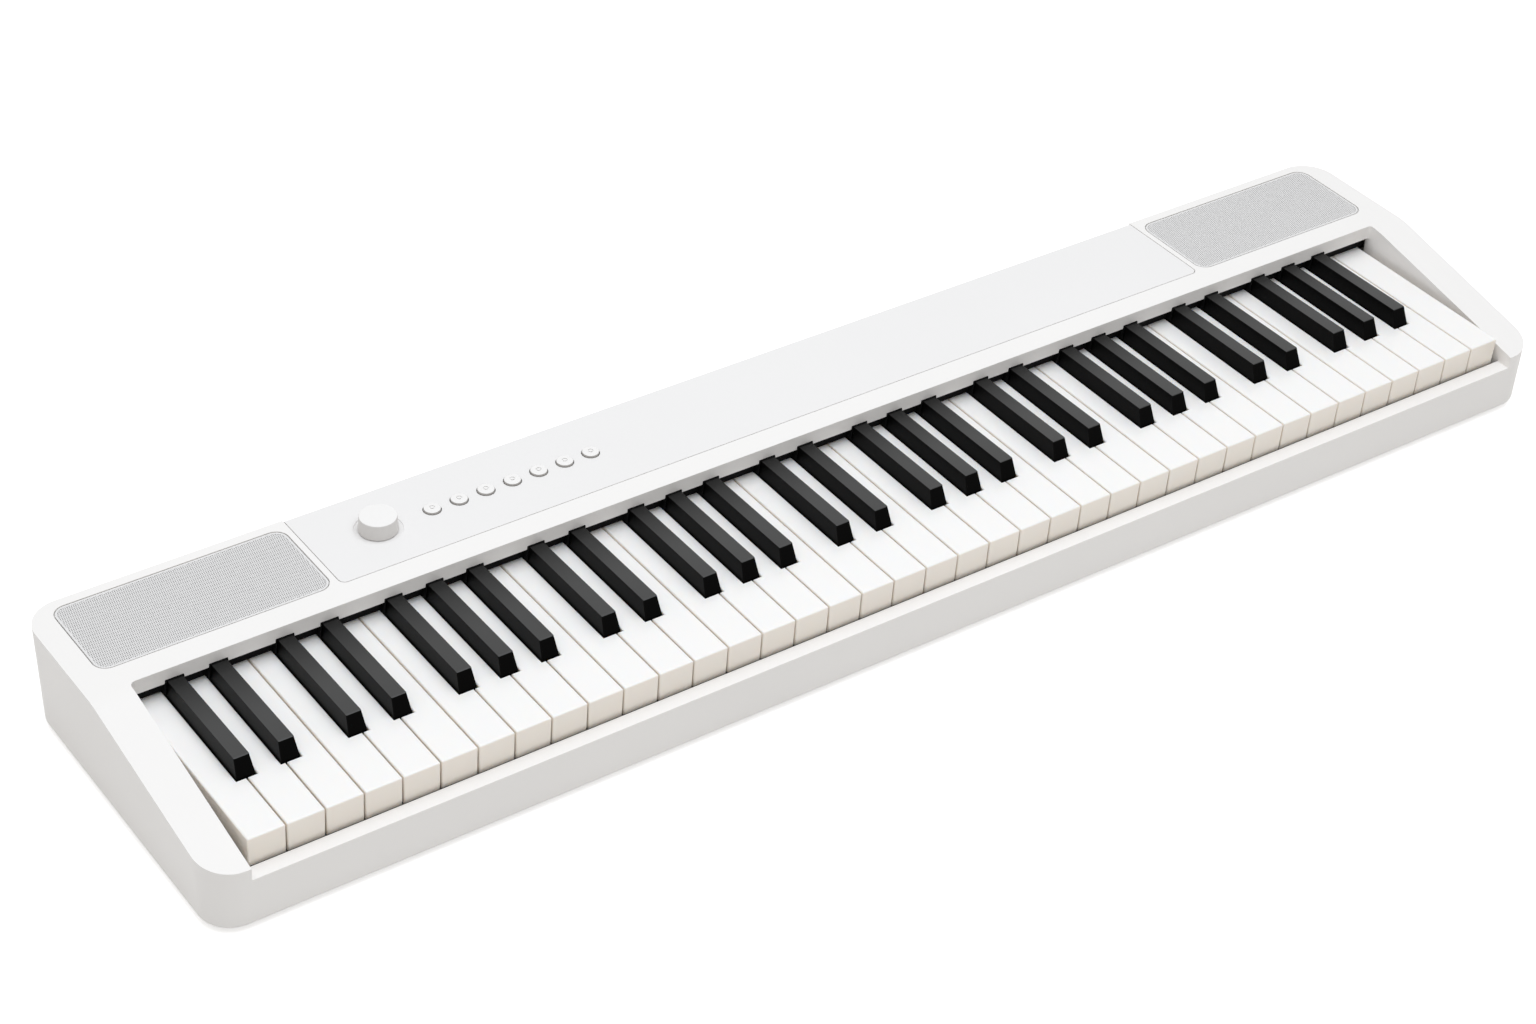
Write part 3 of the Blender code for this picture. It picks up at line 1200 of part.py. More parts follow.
def make_main_board():
    """The main board with the power inlet, two round sockets and a small data socket at the rear wall."""
    y = main_board_span()
    z = (MAIN_BOARD_Z, MAIN_BOARD_Z + BOARD_THICKNESS)
    x = (MAIN_BOARD_X - MAIN_BOARD_LENGTH / 2, MAIN_BOARD_X + MAIN_BOARD_LENGTH / 2)
    board = block("board", x, y, z)
    pieces = []
    for place in socket_places():
        half = SOCKET_SIDE / 2
        body_y = (y[1] - SOCKET_BORE_DEPTH, y[1])
        body_z = (z[0] + EPS / 2, z[1] + SOCKET_SIDE)
        pieces.append(block("socket", (place - half, place + half), body_y, body_z))
    pieces.append(usb_box("usb", USB_SIZE, (y[1] - USB_DEPTH - EPS, REAR_Y - DRAFT)))
    bodies = joined("bodies", pieces)
    pad_x = (usb_place() - USB_SIZE[0] / 3, usb_place() + USB_SIZE[0] / 3)
    usb_pad = block("usb_pad", pad_x, (y[1] - USB_DEPTH, y[1] - EPS), (z[0] + EPS / 2, z[1] + EPS / 2))
    noses = rear_bores("noses", SOCKET_NOSE, (y[1] - EPS, REAR_Y - DRAFT))
    bores = rear_bores("bores", SOCKET_BORE, (y[1] - SOCKET_BORE_DEPTH + SHELL, REAR_Y + EPS), 32)
    mouth = usb_box("mouth", USB_OPENING, (y[1] - USB_DEPTH, REAR_Y + EPS))
    pin_z = z[1] + SOCKET_SIDE / 2
    pin_y = (y[1] - SOCKET_BORE_DEPTH + SHELL - EPS, REAR_Y - DRAFT - EPS)
    pin_middle = (socket_places()[0], sum(pin_y) / 2, pin_z)
    pin = round_bar("pin", pin_middle, POWER_PIN, pin_y[1] - pin_y[0], "Y", 8)
    combine(board, bodies, "UNION")
    combine(board, usb_pad, "UNION")
    combine(board, noses, "UNION")
    combine(board, bores)
    combine(board, mouth)
    combine(board, pin, "UNION")
    make_part(settled(board, (bodies, usb_pad, noses, bores, mouth, pin)), "main_board", BOARD_GREEN)


def main():
    """Builds the whole instrument."""
    whites, blacks = key_layout()
    make_upper_case(blacks)
    make_lower_case()
    make_feet()
    make_collar_strip(blacks)
    make_deck_fittings()
    make_controls()
    make_panel_board()
    make_chassis(whites, blacks)
    make_keybed_fittings(whites, blacks)
    make_main_board()
    make_keys(whites, blacks)


main()
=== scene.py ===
"""Looks of the portable keyboard: moulded case, keys, perforated grilles, controls, sockets and screws.

Metres, +Z up, +X to the high keys, +Y to the rear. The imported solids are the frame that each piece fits.
"""

from __future__ import annotations

import logging
import math
from dataclasses import dataclass, replace
from enum import Enum
from typing import Callable, Iterable, Iterator, Mapping, Sequence

import bmesh
import bpy
from mathutils import Matrix, Vector


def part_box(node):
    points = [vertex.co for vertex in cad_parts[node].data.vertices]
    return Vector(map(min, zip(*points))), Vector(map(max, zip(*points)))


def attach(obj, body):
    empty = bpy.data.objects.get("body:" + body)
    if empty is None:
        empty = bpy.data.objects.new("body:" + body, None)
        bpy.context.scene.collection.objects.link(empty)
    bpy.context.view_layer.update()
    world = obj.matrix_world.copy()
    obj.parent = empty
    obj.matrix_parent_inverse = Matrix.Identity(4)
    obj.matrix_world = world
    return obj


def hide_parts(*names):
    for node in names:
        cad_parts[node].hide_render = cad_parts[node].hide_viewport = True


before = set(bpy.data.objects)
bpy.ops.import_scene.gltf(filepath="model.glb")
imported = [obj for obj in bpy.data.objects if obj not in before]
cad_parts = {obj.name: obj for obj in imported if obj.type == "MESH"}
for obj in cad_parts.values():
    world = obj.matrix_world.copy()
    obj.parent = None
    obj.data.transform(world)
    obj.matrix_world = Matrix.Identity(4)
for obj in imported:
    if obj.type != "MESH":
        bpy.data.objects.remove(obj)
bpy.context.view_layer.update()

LOG = logging.getLogger("keyboard")
Edge = bmesh.types.BMEdge
Material = bpy.types.Material
Obj = bpy.types.Object
Socket = bpy.types.NodeSocket
Colour = tuple[float, float, float]
Pair = tuple[float, float]
Point = tuple[float, float, float]
Outline = Sequence[Pair]
Inputs = Mapping[str | int, object]
MERGE = 1e-6
FLAT = 2e-5
CASE_BODY = "case"
UP, REAR = Vector((0, 0, 1)), Vector((0, 1, 0))


class Operation(Enum):
    """What a Boolean modifier does with its cutter."""

    CUT = "DIFFERENCE"
    JOIN = "UNION"


class KeyColour(Enum):
    """The two kinds of key, named as their nodes are."""

    WHITE = "white"
    BLACK = "black"


class Side(Enum):
    """The two ends of the instrument, named as their nodes are."""

    LEFT = "left"
    RIGHT = "right"


class Box:
    """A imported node's box, with its middle and its half sizes in plan."""

    def __init__(self, node: str) -> None:
        """Reads the box.

        Args:
            node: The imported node.
        """
        self.low, self.high = low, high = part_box(node)
        self.middle = ((low.x + high.x) / 2, (low.y + high.y) / 2)
        self.half = ((high.x - low.x) / 2, (high.y - low.y) / 2)
        self.axis = Vector((*self.middle, 0))


KEY_TOP, KEY_FRONT = Box("key_c2").high.z, Box("key_c2").low.y
DECK_TOP, CASE_LOW = Box("upper_case").high.z, Box("upper_case").low.z


def link(name: str, data: bpy.types.ID) -> Obj:
    """Puts a mesh, a lamp or a camera in the scene.

    Args:
        name: The object's name.
        data: What it holds.

    Returns:
        The new object, at the origin.
    """
    made = bpy.data.objects.new(name, data)
    bpy.context.scene.collection.objects.link(made)
    return made


def from_bmesh(name: str, bm: bmesh.types.BMesh) -> Obj:
    """Turns a bmesh into an object with outward faces.

    Args:
        name: The object's name.
        bm: The mesh data, which is freed.

    Returns:
        The new object.
    """
    bmesh.ops.recalc_face_normals(bm, faces=bm.faces)
    mesh = bpy.data.meshes.new(name)
    bm.to_mesh(mesh)
    bm.free()
    return link(name, mesh)


def edit(obj: Obj, change: Callable[[bmesh.types.BMesh], object]) -> Obj:
    """Changes an object's mesh in place.

    Args:
        obj: The object.
        change: What to do with its bmesh.

    Returns:
        The same object.
    """
    bm = bmesh.new()
    bm.from_mesh(obj.data)
    change(bm)
    bm.to_mesh(obj.data)
    bm.free()
    return obj


def settle(obj: Obj, helpers: Iterable[Obj] = ()) -> Obj:
    """Makes the modifiers real and removes the objects that they used.

    Args:
        obj: The object with modifiers.
        helpers: Cutters that are no longer needed.

    Returns:
        The same object, with a plain mesh.
    """
    bpy.context.view_layer.update()
    graph = bpy.context.evaluated_depsgraph_get()
    shown = obj.evaluated_get(graph)
    mesh = bpy.data.meshes.new_from_object(shown, preserve_all_data_layers=True, depsgraph=graph)
    obj.modifiers.clear()
    obj.data = mesh
    for helper in helpers:
        bpy.data.objects.remove(helper, do_unlink=True)
    return obj


def combine(obj: Obj, operation: Operation, *tools: Obj) -> Obj:
    """Cuts or joins with each tool in turn, then removes the tools.

    Args:
        obj: The object to work on.
        operation: Cut or join.
        tools: Closed meshes.

    Returns:
        The same object, with a plain mesh.
    """
    for tool in tools:
        modifier = obj.modifiers.new(tool.name, "BOOLEAN")
        modifier.operation = operation.value
        modifier.solver = "EXACT"
        modifier.object = tool
    return settle(obj, tools)


def block(name: str, x: Pair, y: Pair, z: Pair) -> Obj:
    """A box between two ends along each axis.

    Args:
        name: The object's name.
        x: The ends along X.
        y: The ends along Y.
        z: The ends along Z.

    Returns:
        The new object.
    """
    bm = bmesh.new()
    bmesh.ops.create_cube(bm, size=1)
    bmesh.ops.scale(bm, vec=Vector((x[1] - x[0], y[1] - y[0], z[1] - z[0])), verts=bm.verts)
    bmesh.ops.translate(bm, vec=Vector((sum(x), sum(y), sum(z))) / 2, verts=bm.verts)
    return from_bmesh(name, bm)


def arc(centre: Pair, radius: float, start: float, end: float, steps: int) -> list[Pair]:
    """Points along an arc.

    Args:
        centre: Its middle.
        radius: Its radius.
        start: First angle in degrees.
        end: Last angle in degrees.
        steps: Number of straight steps.

    Returns:
        The points, one more than the steps.
    """
    angles = [math.radians(start + (end - start) * i / steps) for i in range(steps + 1)]
    return [(centre[0] + radius * math.cos(a), centre[1] + radius * math.sin(a)) for a in angles]


def rounded_rectangle(middle: Pair, half: Pair, radius: float, steps: int) -> list[Pair]:
    """An outline with four equal round corners, counterclockwise from the front right.

    Args:
        middle: Its middle.
        half: Half its length and half its depth.
        radius: Corner radius.
        steps: Straight steps in each corner.

    Returns:
        The points of the outline.
    """
    points = []
    for turn, (sx, sy) in enumerate(((1, -1), (1, 1), (-1, 1), (-1, -1))):
        centre = (middle[0] + sx * (half[0] - radius), middle[1] + sy * (half[1] - radius))
        points += arc(centre, radius, 90 * (turn - 1), 90 * turn, steps)
    return points


def loft(name: str, *forms: Iterable[Iterable[Point]]) -> Obj:
    """Closed forms, each through rings that have equal numbers of points.

    Args:
        name: The object's name.
        forms: The rings of each form, from one end to the other.

    Returns:
        The new object.
    """
    bm = bmesh.new()
    for rings in forms:
        rows = [[bm.verts.new(point) for point in ring] for ring in rings]
        for low, high in zip(rows, rows[1:]):
            for i, _ in enumerate(low):
                j = (i + 1) % len(low)
                bm.faces.new((low[i], low[j], high[j], high[i]))
        bm.faces.new(rows[0][::-1])
        bm.faces.new(rows[-1])
    return from_bmesh(name, bm)


def plate(name: str, outline: Outline, z: Pair) -> Obj:
    """A flat outline given a thickness between two heights."""
    return loft(name, [[(x, y, level) for x, y in outline] for level in z])


def side_profile(name: str, outline: Outline, x: Pair) -> Obj:
    """An outline in Y and Z, extended between two places along X."""
    return loft(name, [[(place, y, z) for y, z in outline] for place in x])


def prisms(name: str, outlines: Sequence[Outline], y: Pair) -> Obj:
    """Outlines in X and Z, each extended between two places along Y, in one mesh."""
    return loft(name, *([[(x, place, z) for x, z in outline] for place in y] for outline in outlines))


def lathe(name: str, profile: Outline, middle: Vector, steps: int, axis: Vector = UP) -> Obj:
    """Turns a profile round an axis; it is closed, or starts and ends on the axis.

    Args:
        name: The object's name.
        profile: Pairs of radius and height.
        middle: Where height zero lies.
        steps: Steps round the turn.
        axis: The axis's direction.

    Returns:
        The closed, turned form.
    """
    bm = bmesh.new()
    points = [bm.verts.new((radius, 0, height)) for radius, height in profile]
    geometry = points + [bm.edges.new(pair) for pair in zip(points, points[1:])]
    bmesh.ops.spin(
        bm, geom=geometry, cent=(0, 0, 0), axis=(0, 0, 1), angle=math.tau, steps=steps, use_merge=True
    )
    bmesh.ops.remove_doubles(bm, verts=bm.verts, dist=MERGE)
    turn = axis.to_track_quat("Z", "Y").to_matrix().to_4x4()
    bmesh.ops.transform(bm, matrix=Matrix.Translation(middle) @ turn, verts=bm.verts)
    return from_bmesh(name, bm)


def rounded(corner: Pair, before: Pair, after: Pair, radius: float, steps: int) -> list[Pair]:
    """Replaces a profile's corner by a round stretch.

    Args:
        corner: The corner.
        before: The profile's point before it.
        after: The profile's point after it.
        radius: The round's tangent length.
        steps: Straight steps in the round.

    Returns:
        Points of a curve that is tangent to both sides.
    """
    middle = Vector(corner)
    start = middle + (Vector(before) - middle).normalized() * radius
    end = middle + (Vector(after) - middle).normalized() * radius
    shares = [i / steps for i in range(steps + 1)]
    points = [start * (1 - t) ** 2 + middle * 2 * t * (1 - t) + end * t * t for t in shares]
    return [(point.x, point.y) for point in points]


def shade(obj: Obj, sharp_degrees: float, weighted: bool = True) -> Obj:
    """Shades smooth over rounds and keeps flat faces flat.

    Args:
        obj: The object.
        sharp_degrees: Angle from which an edge stays sharp.
        weighted: Whether large faces keep their own normals.

    Returns:
        The same object.
    """
    obj.data.shade_smooth()
    obj.data.set_sharp_from_angle(angle=math.radians(sharp_degrees))
    if weighted:
        modifier = obj.modifiers.new("face_weighted_normals", "WEIGHTED_NORMAL")
        modifier.keep_sharp = True
        modifier.weight = 100
        settle(obj)
    return obj


def round_edges(obj: Obj, width: float, segments: int, weight: Callable[[Edge], float]) -> Obj:
    """Rounds the edges that a rule gives a weight.

    Args:
        obj: The object.
        width: Width of the round at weight one.
        segments: Steps across the round.
        weight: Gives each edge its share of the width.

    Returns:
        The same object, with a plain mesh.
    """

    def mark(bm: bmesh.types.BMesh) -> None:
        """Writes every edge's share.

        Args:
            bm: The object's mesh.
        """
        bm.normal_update()
        layers = bm.edges.layers.float
        layer = layers.get("bevel_weight_edge") or layers.new("bevel_weight_edge")
        for edge in bm.edges:
            if len(edge.link_faces) == 2:
                edge[layer] = weight(edge)

    edit(obj, mark)
    modifier = obj.modifiers.new("edge_round", "BEVEL")
    modifier.limit_method = "WEIGHT"
    modifier.width = width
    modifier.segments = segments
    modifier.use_clamp_overlap = True
    modifier.miter_outer = "MITER_ARC"
    return settle(obj)


def solid_copy(node: str, name: str) -> Obj:
    """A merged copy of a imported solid, with its flat faces whole.

    Args:
        node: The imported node.
        name: The copy's name.

    Returns:
        The copy, which rides on nothing yet.
    """
    bm = bmesh.new()
    bm.from_mesh(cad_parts[node].data)
    bmesh.ops.remove_doubles(bm, verts=bm.verts, dist=MERGE)
    bmesh.ops.dissolve_limit(bm, angle_limit=math.radians(0.4), verts=bm.verts, edges=bm.edges)
    return from_bmesh(name, bm)


def top_edge(level: float, least_degrees: float) -> Callable[[Edge], float]:
    """A rule that picks the edges lying in one level face.

    Args:
        level: The face's height.
        least_degrees: Least angle between an edge's two faces.

    Returns:
        The rule, which gives one or zero.
    """

    def weight(edge: Edge) -> float:
        """One for an edge of the face, and zero for another."""
        flat = all(abs(vertex.co.z - level) < FLAT for vertex in edge.verts)
        return 1.0 if flat and edge.calc_face_angle(0) > math.radians(least_degrees) else 0.0

    return weight


def put(obj: Obj, material: Material, body: str, slot: str, *nodes: str) -> Obj:
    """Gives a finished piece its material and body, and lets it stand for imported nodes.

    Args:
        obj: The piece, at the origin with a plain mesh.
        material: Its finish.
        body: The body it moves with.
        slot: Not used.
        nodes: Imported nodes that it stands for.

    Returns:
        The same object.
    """
    obj.data.materials.clear()
    obj.data.materials.append(material)
    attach(obj, body)
    if nodes:
        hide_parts(*nodes)
    return obj


class Nodes:
    """A small builder for one node tree."""

    def __init__(self, tree: bpy.types.NodeTree) -> None:
        """Keeps the tree that nodes are added to."""
        self.tree = tree

    def feed(self, target: Socket, value: object) -> None:
        """Links an input to a socket, or sets a value on it.

        Args:
            target: The input.
            value: A socket, or a plain value; a colour is given without its alpha.
        """
        if isinstance(value, bpy.types.NodeSocket):
            self.tree.links.new(value, target)
        else:
            target.default_value = (*value, 1) if target.type == "RGBA" else value

    def fill(self, node: bpy.types.Node, inputs: Inputs) -> None:
        """Feeds several inputs of a node.

        Args:
            node: The node.
            inputs: Sockets or values, by the input's name or number.
        """
        for key, value in inputs.items():
            self.feed(node.inputs[key], value)

    def add(self, kind: str, inputs: Inputs | None = None, **settings: object) -> bpy.types.Node:
        """Adds a node, sets its properties and feeds its inputs.

        Args:
            kind: The node's type.
            inputs: Sockets or values, by the input's name or number.
            settings: Its properties by name.

        Returns:
            The new node.
        """
        node = self.tree.nodes.new(kind)
        for key, value in settings.items():
            setattr(node, key, value)
        self.fill(node, inputs or {})
        return node

    def get(self, kind: str, inputs: Inputs | None = None, **settings: object) -> Socket:
        """Adds a node and gives its first output."""
        return self.add(kind, inputs, **settings).outputs[0]

    def math(self, operation: str, *values: object) -> Socket:
        """Adds a Math node over sockets and numbers, and gives its output."""
        return self.get("ShaderNodeMath", dict(enumerate(values)), operation=operation)

    def part(self, vector: Socket, axis: str) -> Socket:
        """One component of a vector."""
        return self.add("ShaderNodeSeparateXYZ", {0: vector}).outputs[axis]

    def ramp(self, value: Socket, start: float, end: float, least: float = 0.0) -> Socket:
        """A smooth rise from a least value to one, between two values of a socket."""
        inputs = {"Value": value, "From Min": start, "From Max": end, "To Min": least}
        return self.get("ShaderNodeMapRange", inputs, interpolation_type="SMOOTHSTEP")

    def blend(self, share: Socket, *colours: Colour) -> Socket:
        """Mixes two colours.

        Args:
            share: The second colour's share.
            colours: The two colours.

        Returns:
            The mixed colour.
        """
        mix = self.add("ShaderNodeMix", {"Factor": share}, data_type="RGBA")
        for socket, colour in zip((socket for socket in mix.inputs if socket.type == "RGBA"), colours):
            self.feed(socket, colour)
        return next(socket for socket in mix.outputs if socket.type == "RGBA")


class Group(Nodes):
    """A node group with a main input, named values and one output."""

    kinds = {"Color": "NodeSocketColor", "Vector": "NodeSocketVector", "Geometry": "NodeSocketGeometry"}

    def __init__(self, name: str, kind: str, main: str, values: dict[str, float], output: str) -> None:
        """Makes the group and its sockets.

        Args:
            name: Its name.
            kind: The tree's type.
            main: Name of the main input, which has no value of its own.
            values: The other inputs, with their values.
            output: Name of the output.
        """
        super().__init__(bpy.data.node_groups.new(name, kind))
        self.values: dict[str, float] = {}
        for label, value in {main: 0.0, **values}.items():
            socket = self._socket(label, "INPUT")
            if label not in self.kinds:
                socket.default_value = value
                self.values[socket.identifier] = value
        self._socket(output, "OUTPUT")
        self.source = self.add("NodeGroupInput").outputs
        self.end = self.add("NodeGroupOutput").inputs[0]

    def _socket(self, label: str, way: str) -> bpy.types.NodeTreeInterfaceSocket:
        """Adds a socket, a number unless its name says what else it carries."""
        kind = self.kinds.get(label, "NodeSocketFloat")
        return self.tree.interface.new_socket(label, in_out=way, socket_type=kind)

    def finish(self, geometry: Socket, material: Material) -> None:
        """Ends a geometry group in Realize Instances and Set Material."""
        real = self.get("GeometryNodeRealizeInstances", {0: geometry})
        self.feed(self.end, self.get("GeometryNodeSetMaterial", {0: real, "Material": material}))

    def apply(self, name: str, mesh: bpy.types.Mesh) -> Obj:
        """Runs a geometry group on a mesh and keeps the result as a plain mesh.

        Args:
            name: The new object's name.
            mesh: The mesh that goes in.

        Returns:
            The new object.
        """
        obj = link(name, mesh)
        modifier = obj.modifiers.new(self.tree.name, "NODES")
        modifier.node_group = self.tree
        for identifier, value in self.values.items():
            modifier[identifier] = value
        return settle(obj)


class SurfaceGroups:
    """Shader effects that several finishes share, each built once."""

    def __init__(self) -> None:
        """Builds the groups."""
        self.tone = self._tone()
        self.grain = self._grain()
        self.handling = self._handling()

    @staticmethod
    def _noise(group: Group, amount: str, inputs: Inputs) -> Socket:
        """Noise about zero, times one of the group's values."""
        noise = group.get("ShaderNodeTexNoise", {"Vector": group.source["Vector"], **inputs})
        return group.math("MULTIPLY", group.math("SUBTRACT", noise, 0.5), group.source[amount])

    def _tone(self) -> bpy.types.NodeTree:
        """Soft drift of a colour over the moulding, with fine speckle.

        Returns:
            The group: Vector, Color, Drift, Scale and Speckle in, Color out.
        """
        values = {"Color": 0.0, "Drift": 0.03, "Scale": 9, "Speckle": 0.02}
        group = Group("surface_tone", "ShaderNodeTree", "Vector", values, "Color")
        drift = self._noise(group, "Drift", {"Scale": group.source["Scale"], "Detail": 3})
        speckle = self._noise(group, "Speckle", {"Scale": 2600, "Detail": 1})
        value = group.math("ADD", group.math("ADD", drift, speckle), 1.0)
        inputs = {"Value": value, "Color": group.source["Color"]}
        group.feed(group.end, group.get("ShaderNodeHueSaturation", inputs))
        return group.tree

    def _grain(self) -> bpy.types.NodeTree:
        """Height of a fine eroded mould grain.

        Returns:
            The group: Vector and Scale in, Height out.
        """
        group = Group("mould_grain", "ShaderNodeTree", "Vector", {"Scale": 1800}, "Height")
        inputs = {name: group.source[name] for name in ("Vector", "Scale")}
        cells = group.get("ShaderNodeTexVoronoi", inputs, feature="SMOOTH_F1")
        cloud = group.get("ShaderNodeTexNoise", {**inputs, "Detail": 4})
        group.feed(group.end, group.math("ADD", group.math("MULTIPLY", cells, 0.6), cloud))
        return group.tree

    def _handling(self) -> bpy.types.NodeTree:
        """Roughness that varies as on a surface that hands have polished in places.

        Returns:
            The group: Vector, Roughness, Spread and Scale in, Roughness out.
        """
        values = {"Roughness": 0.4, "Spread": 0.08, "Scale": 22}
        group = Group("handling_marks", "ShaderNodeTree", "Vector", values, "Roughness")
        inputs = {"Scale": group.source["Scale"], "Detail": 5, "Distortion": 0.8}
        change = self._noise(group, "Spread", inputs)
        group.feed(group.end, group.math("ADD", group.source["Roughness"], change))
        return group.tree


GROUPS = SurfaceGroups()


@dataclass(frozen=True)
class Surface:
    """The common part of a finish, which each kind of finish refines."""

    nodes: Nodes
    shader: bpy.types.Node
    place: Socket
    tone: bpy.types.Node


@dataclass(frozen=True)
class Finish:
    """A surface's colour and gloss, with its grain and its small variations."""

    name: str
    colour: Colour
    roughness: float
    metallic: float = 0.0
    drift: float = 0.03
    drift_scale: float = 9.0
    speckle: float = 0.02
    spread: float = 0.08
    grain_scale: float = 1800.0
    grain_strength: float = 0.12
    grain_depth: float = 0.00004
    coat: float = 0.0
    coat_roughness: float = 0.2
    sheen: float = 0.0
    specular: float = 0.5
    subsurface: float = 0.0
    subsurface_radius: Colour = (1.0, 0.85, 0.7)
    subsurface_scale: float = 0.0018

    def build(self) -> Material:
        """Builds the material.

        Returns:
            The material, refined as its kind asks.
        """
        material = bpy.data.materials.new(self.name)
        material.use_nodes = True
        nodes = Nodes(material.node_tree)
        shader = material.node_tree.nodes["Principled BSDF"]
        place = nodes.add("ShaderNodeTexCoord").outputs["Object"]
        inputs = {"Vector": place, "Color": self.colour, "Drift": self.drift, "Scale": self.drift_scale}
        tone = nodes.add("ShaderNodeGroup", {**inputs, "Speckle": self.speckle}, node_tree=GROUPS.tone)
        inputs = {"Vector": place, "Roughness": self.roughness, "Spread": self.spread}
        roughness = nodes.get("ShaderNodeGroup", inputs, node_tree=GROUPS.handling)
        inputs = {"Vector": place, "Scale": self.grain_scale}
        height = nodes.get("ShaderNodeGroup", inputs, node_tree=GROUPS.grain)
        inputs = {"Strength": self.grain_strength, "Distance": self.grain_depth, "Height": height}
        nodes.fill(shader, {
            "Base Color": tone.outputs[0],
            "Roughness": roughness,
            "Normal": nodes.get("ShaderNodeBump", inputs),
            "Metallic": self.metallic,
            "Coat Weight": self.coat,
            "Coat Roughness": self.coat_roughness,
            "Sheen Weight": self.sheen,
            "Specular IOR Level": self.specular,
            "Subsurface Weight": self.subsurface,
            "Subsurface Radius": self.subsurface_radius,
            "Subsurface Scale": self.subsurface_scale,
        })
        self.refine(Surface(nodes, shader, place, tone))
        return material

    def refine(self, at: Surface) -> None:
        """Leaves the plain finish as it is."""


@dataclass(frozen=True)
class HeightPaintedShadeFinish(Finish):
    """Painted light by height: a key's top painted whiter than its warmer sides, painted as in shade."""

    # Painted shade: the colour below the top, warmer and darker than the lit top.
    painted_side_shade: Colour = (0.8, 0.8, 0.8)
    level: float = 0.0
    fade: float = 0.0006

    def refine(self, at: Surface) -> None:
        """Blends the painted lit top colour and the painted shade of the sides by height."""
        rise = at.nodes.ramp(at.nodes.part(at.place, "Z"), self.level - self.fade, self.level)
        at.nodes.feed(at.tone.inputs["Color"], at.nodes.blend(rise, self.painted_side_shade, self.colour))


@dataclass(frozen=True)
class FacingPaintedLightFinish(Finish):
    """Painted light by facing: faces that look up are painted lighter and glossier, the sides darker as
    painted shade.
    """

    # Painted shade and sheen: the sides' colour and gloss, and the top's painted shade towards the wall at
    # the rear.
    painted_side_shade: Colour = (0.01, 0.01, 0.01)
    side_specular: float = 0.05
    front_specular: float = 0.02
    facing: Pair = (0.5, 0.9)
    painted_wall_shade: Pair = (0.0, 0.0)
    painted_wall_shade_share: float = 0.35

    def refine(self, at: Surface) -> None:
        """Paints the faces that look up lighter and glossier and the sides darker, and the top darker
        towards the rear, as painted light and shade.

        Args:
            at: The finish so far.
        """
        nodes = at.nodes
        normal = nodes.add("ShaderNodeNewGeometry").outputs["Normal"]
        painted_light_share = nodes.ramp(nodes.part(normal, "Z"), *self.facing)
        # Painted shade: the top darkens towards the wall at the rear.
        if any(self.painted_wall_shade):
            fade = nodes.ramp(nodes.part(at.place, "Y"), *self.painted_wall_shade, self.painted_wall_shade_share)
            painted_light_share = nodes.math("MULTIPLY", painted_light_share, fade)
        nodes.feed(at.tone.inputs["Color"], nodes.blend(painted_light_share, self.painted_side_shade, self.colour))
        sideways = nodes.math("ABSOLUTE", nodes.part(normal, "X"))
        side = nodes.math("MULTIPLY", sideways, self.side_specular - self.front_specular)
        side = nodes.math("ADD", side, self.front_specular)
        rest = nodes.math("MULTIPLY", nodes.math("SUBTRACT", self.specular, side), painted_light_share)
        nodes.feed(at.shader.inputs["Specular IOR Level"], nodes.math("ADD", side, rest))


@dataclass(frozen=True)
class RingFinish(Finish):
    """A finish with rings about a centre, as on a speaker's cone."""

    centre: Pair = (0.0, 0.0)
    stretch: Pair = (1.0, 1.0)
    ring_scale: float = 400.0
    ring_strength: float = 0.4
    ring_depth: float = 0.0004

    def refine(self, at: Surface) -> None:
        """Adds the rings as bump.

        Args:
            at: The finish so far.
        """
        shift = (-self.centre[0] * self.stretch[0], -self.centre[1] * self.stretch[1], 0)
        inputs = {"Vector": at.place, "Location": shift, "Scale": (*self.stretch, 0)}
        inputs = {"Vector": at.nodes.get("ShaderNodeMapping", inputs), "Scale": self.ring_scale}
        rings = at.nodes.add("ShaderNodeTexWave", inputs, wave_type="RINGS", rings_direction="SPHERICAL")
        inputs = {"Strength": self.ring_strength, "Distance": self.ring_depth, "Height": rings.outputs[1]}
        at.nodes.feed(at.shader.inputs["Normal"], at.nodes.get("ShaderNodeBump", inputs))


@dataclass(frozen=True)
class BoardFinish(Finish):
    """Solder mask with copper tracks showing through."""

    track_colour: Colour = (0.08, 0.32, 0.12)
    track_scale: float = 260.0
    track_width: float = 0.06

    def refine(self, at: Surface) -> None:
        """Lays the tracks over the mask.

        Args:
            at: The finish so far.
        """
        tracks = at.nodes.get("ShaderNodeTexBrick", {
            "Vector": at.place, "Color1": self.colour, "Color2": self.colour, "Mortar": self.track_colour,
            "Scale": self.track_scale, "Mortar Size": self.track_width,
        })
        at.nodes.feed(at.tone.inputs["Color"], tracks)


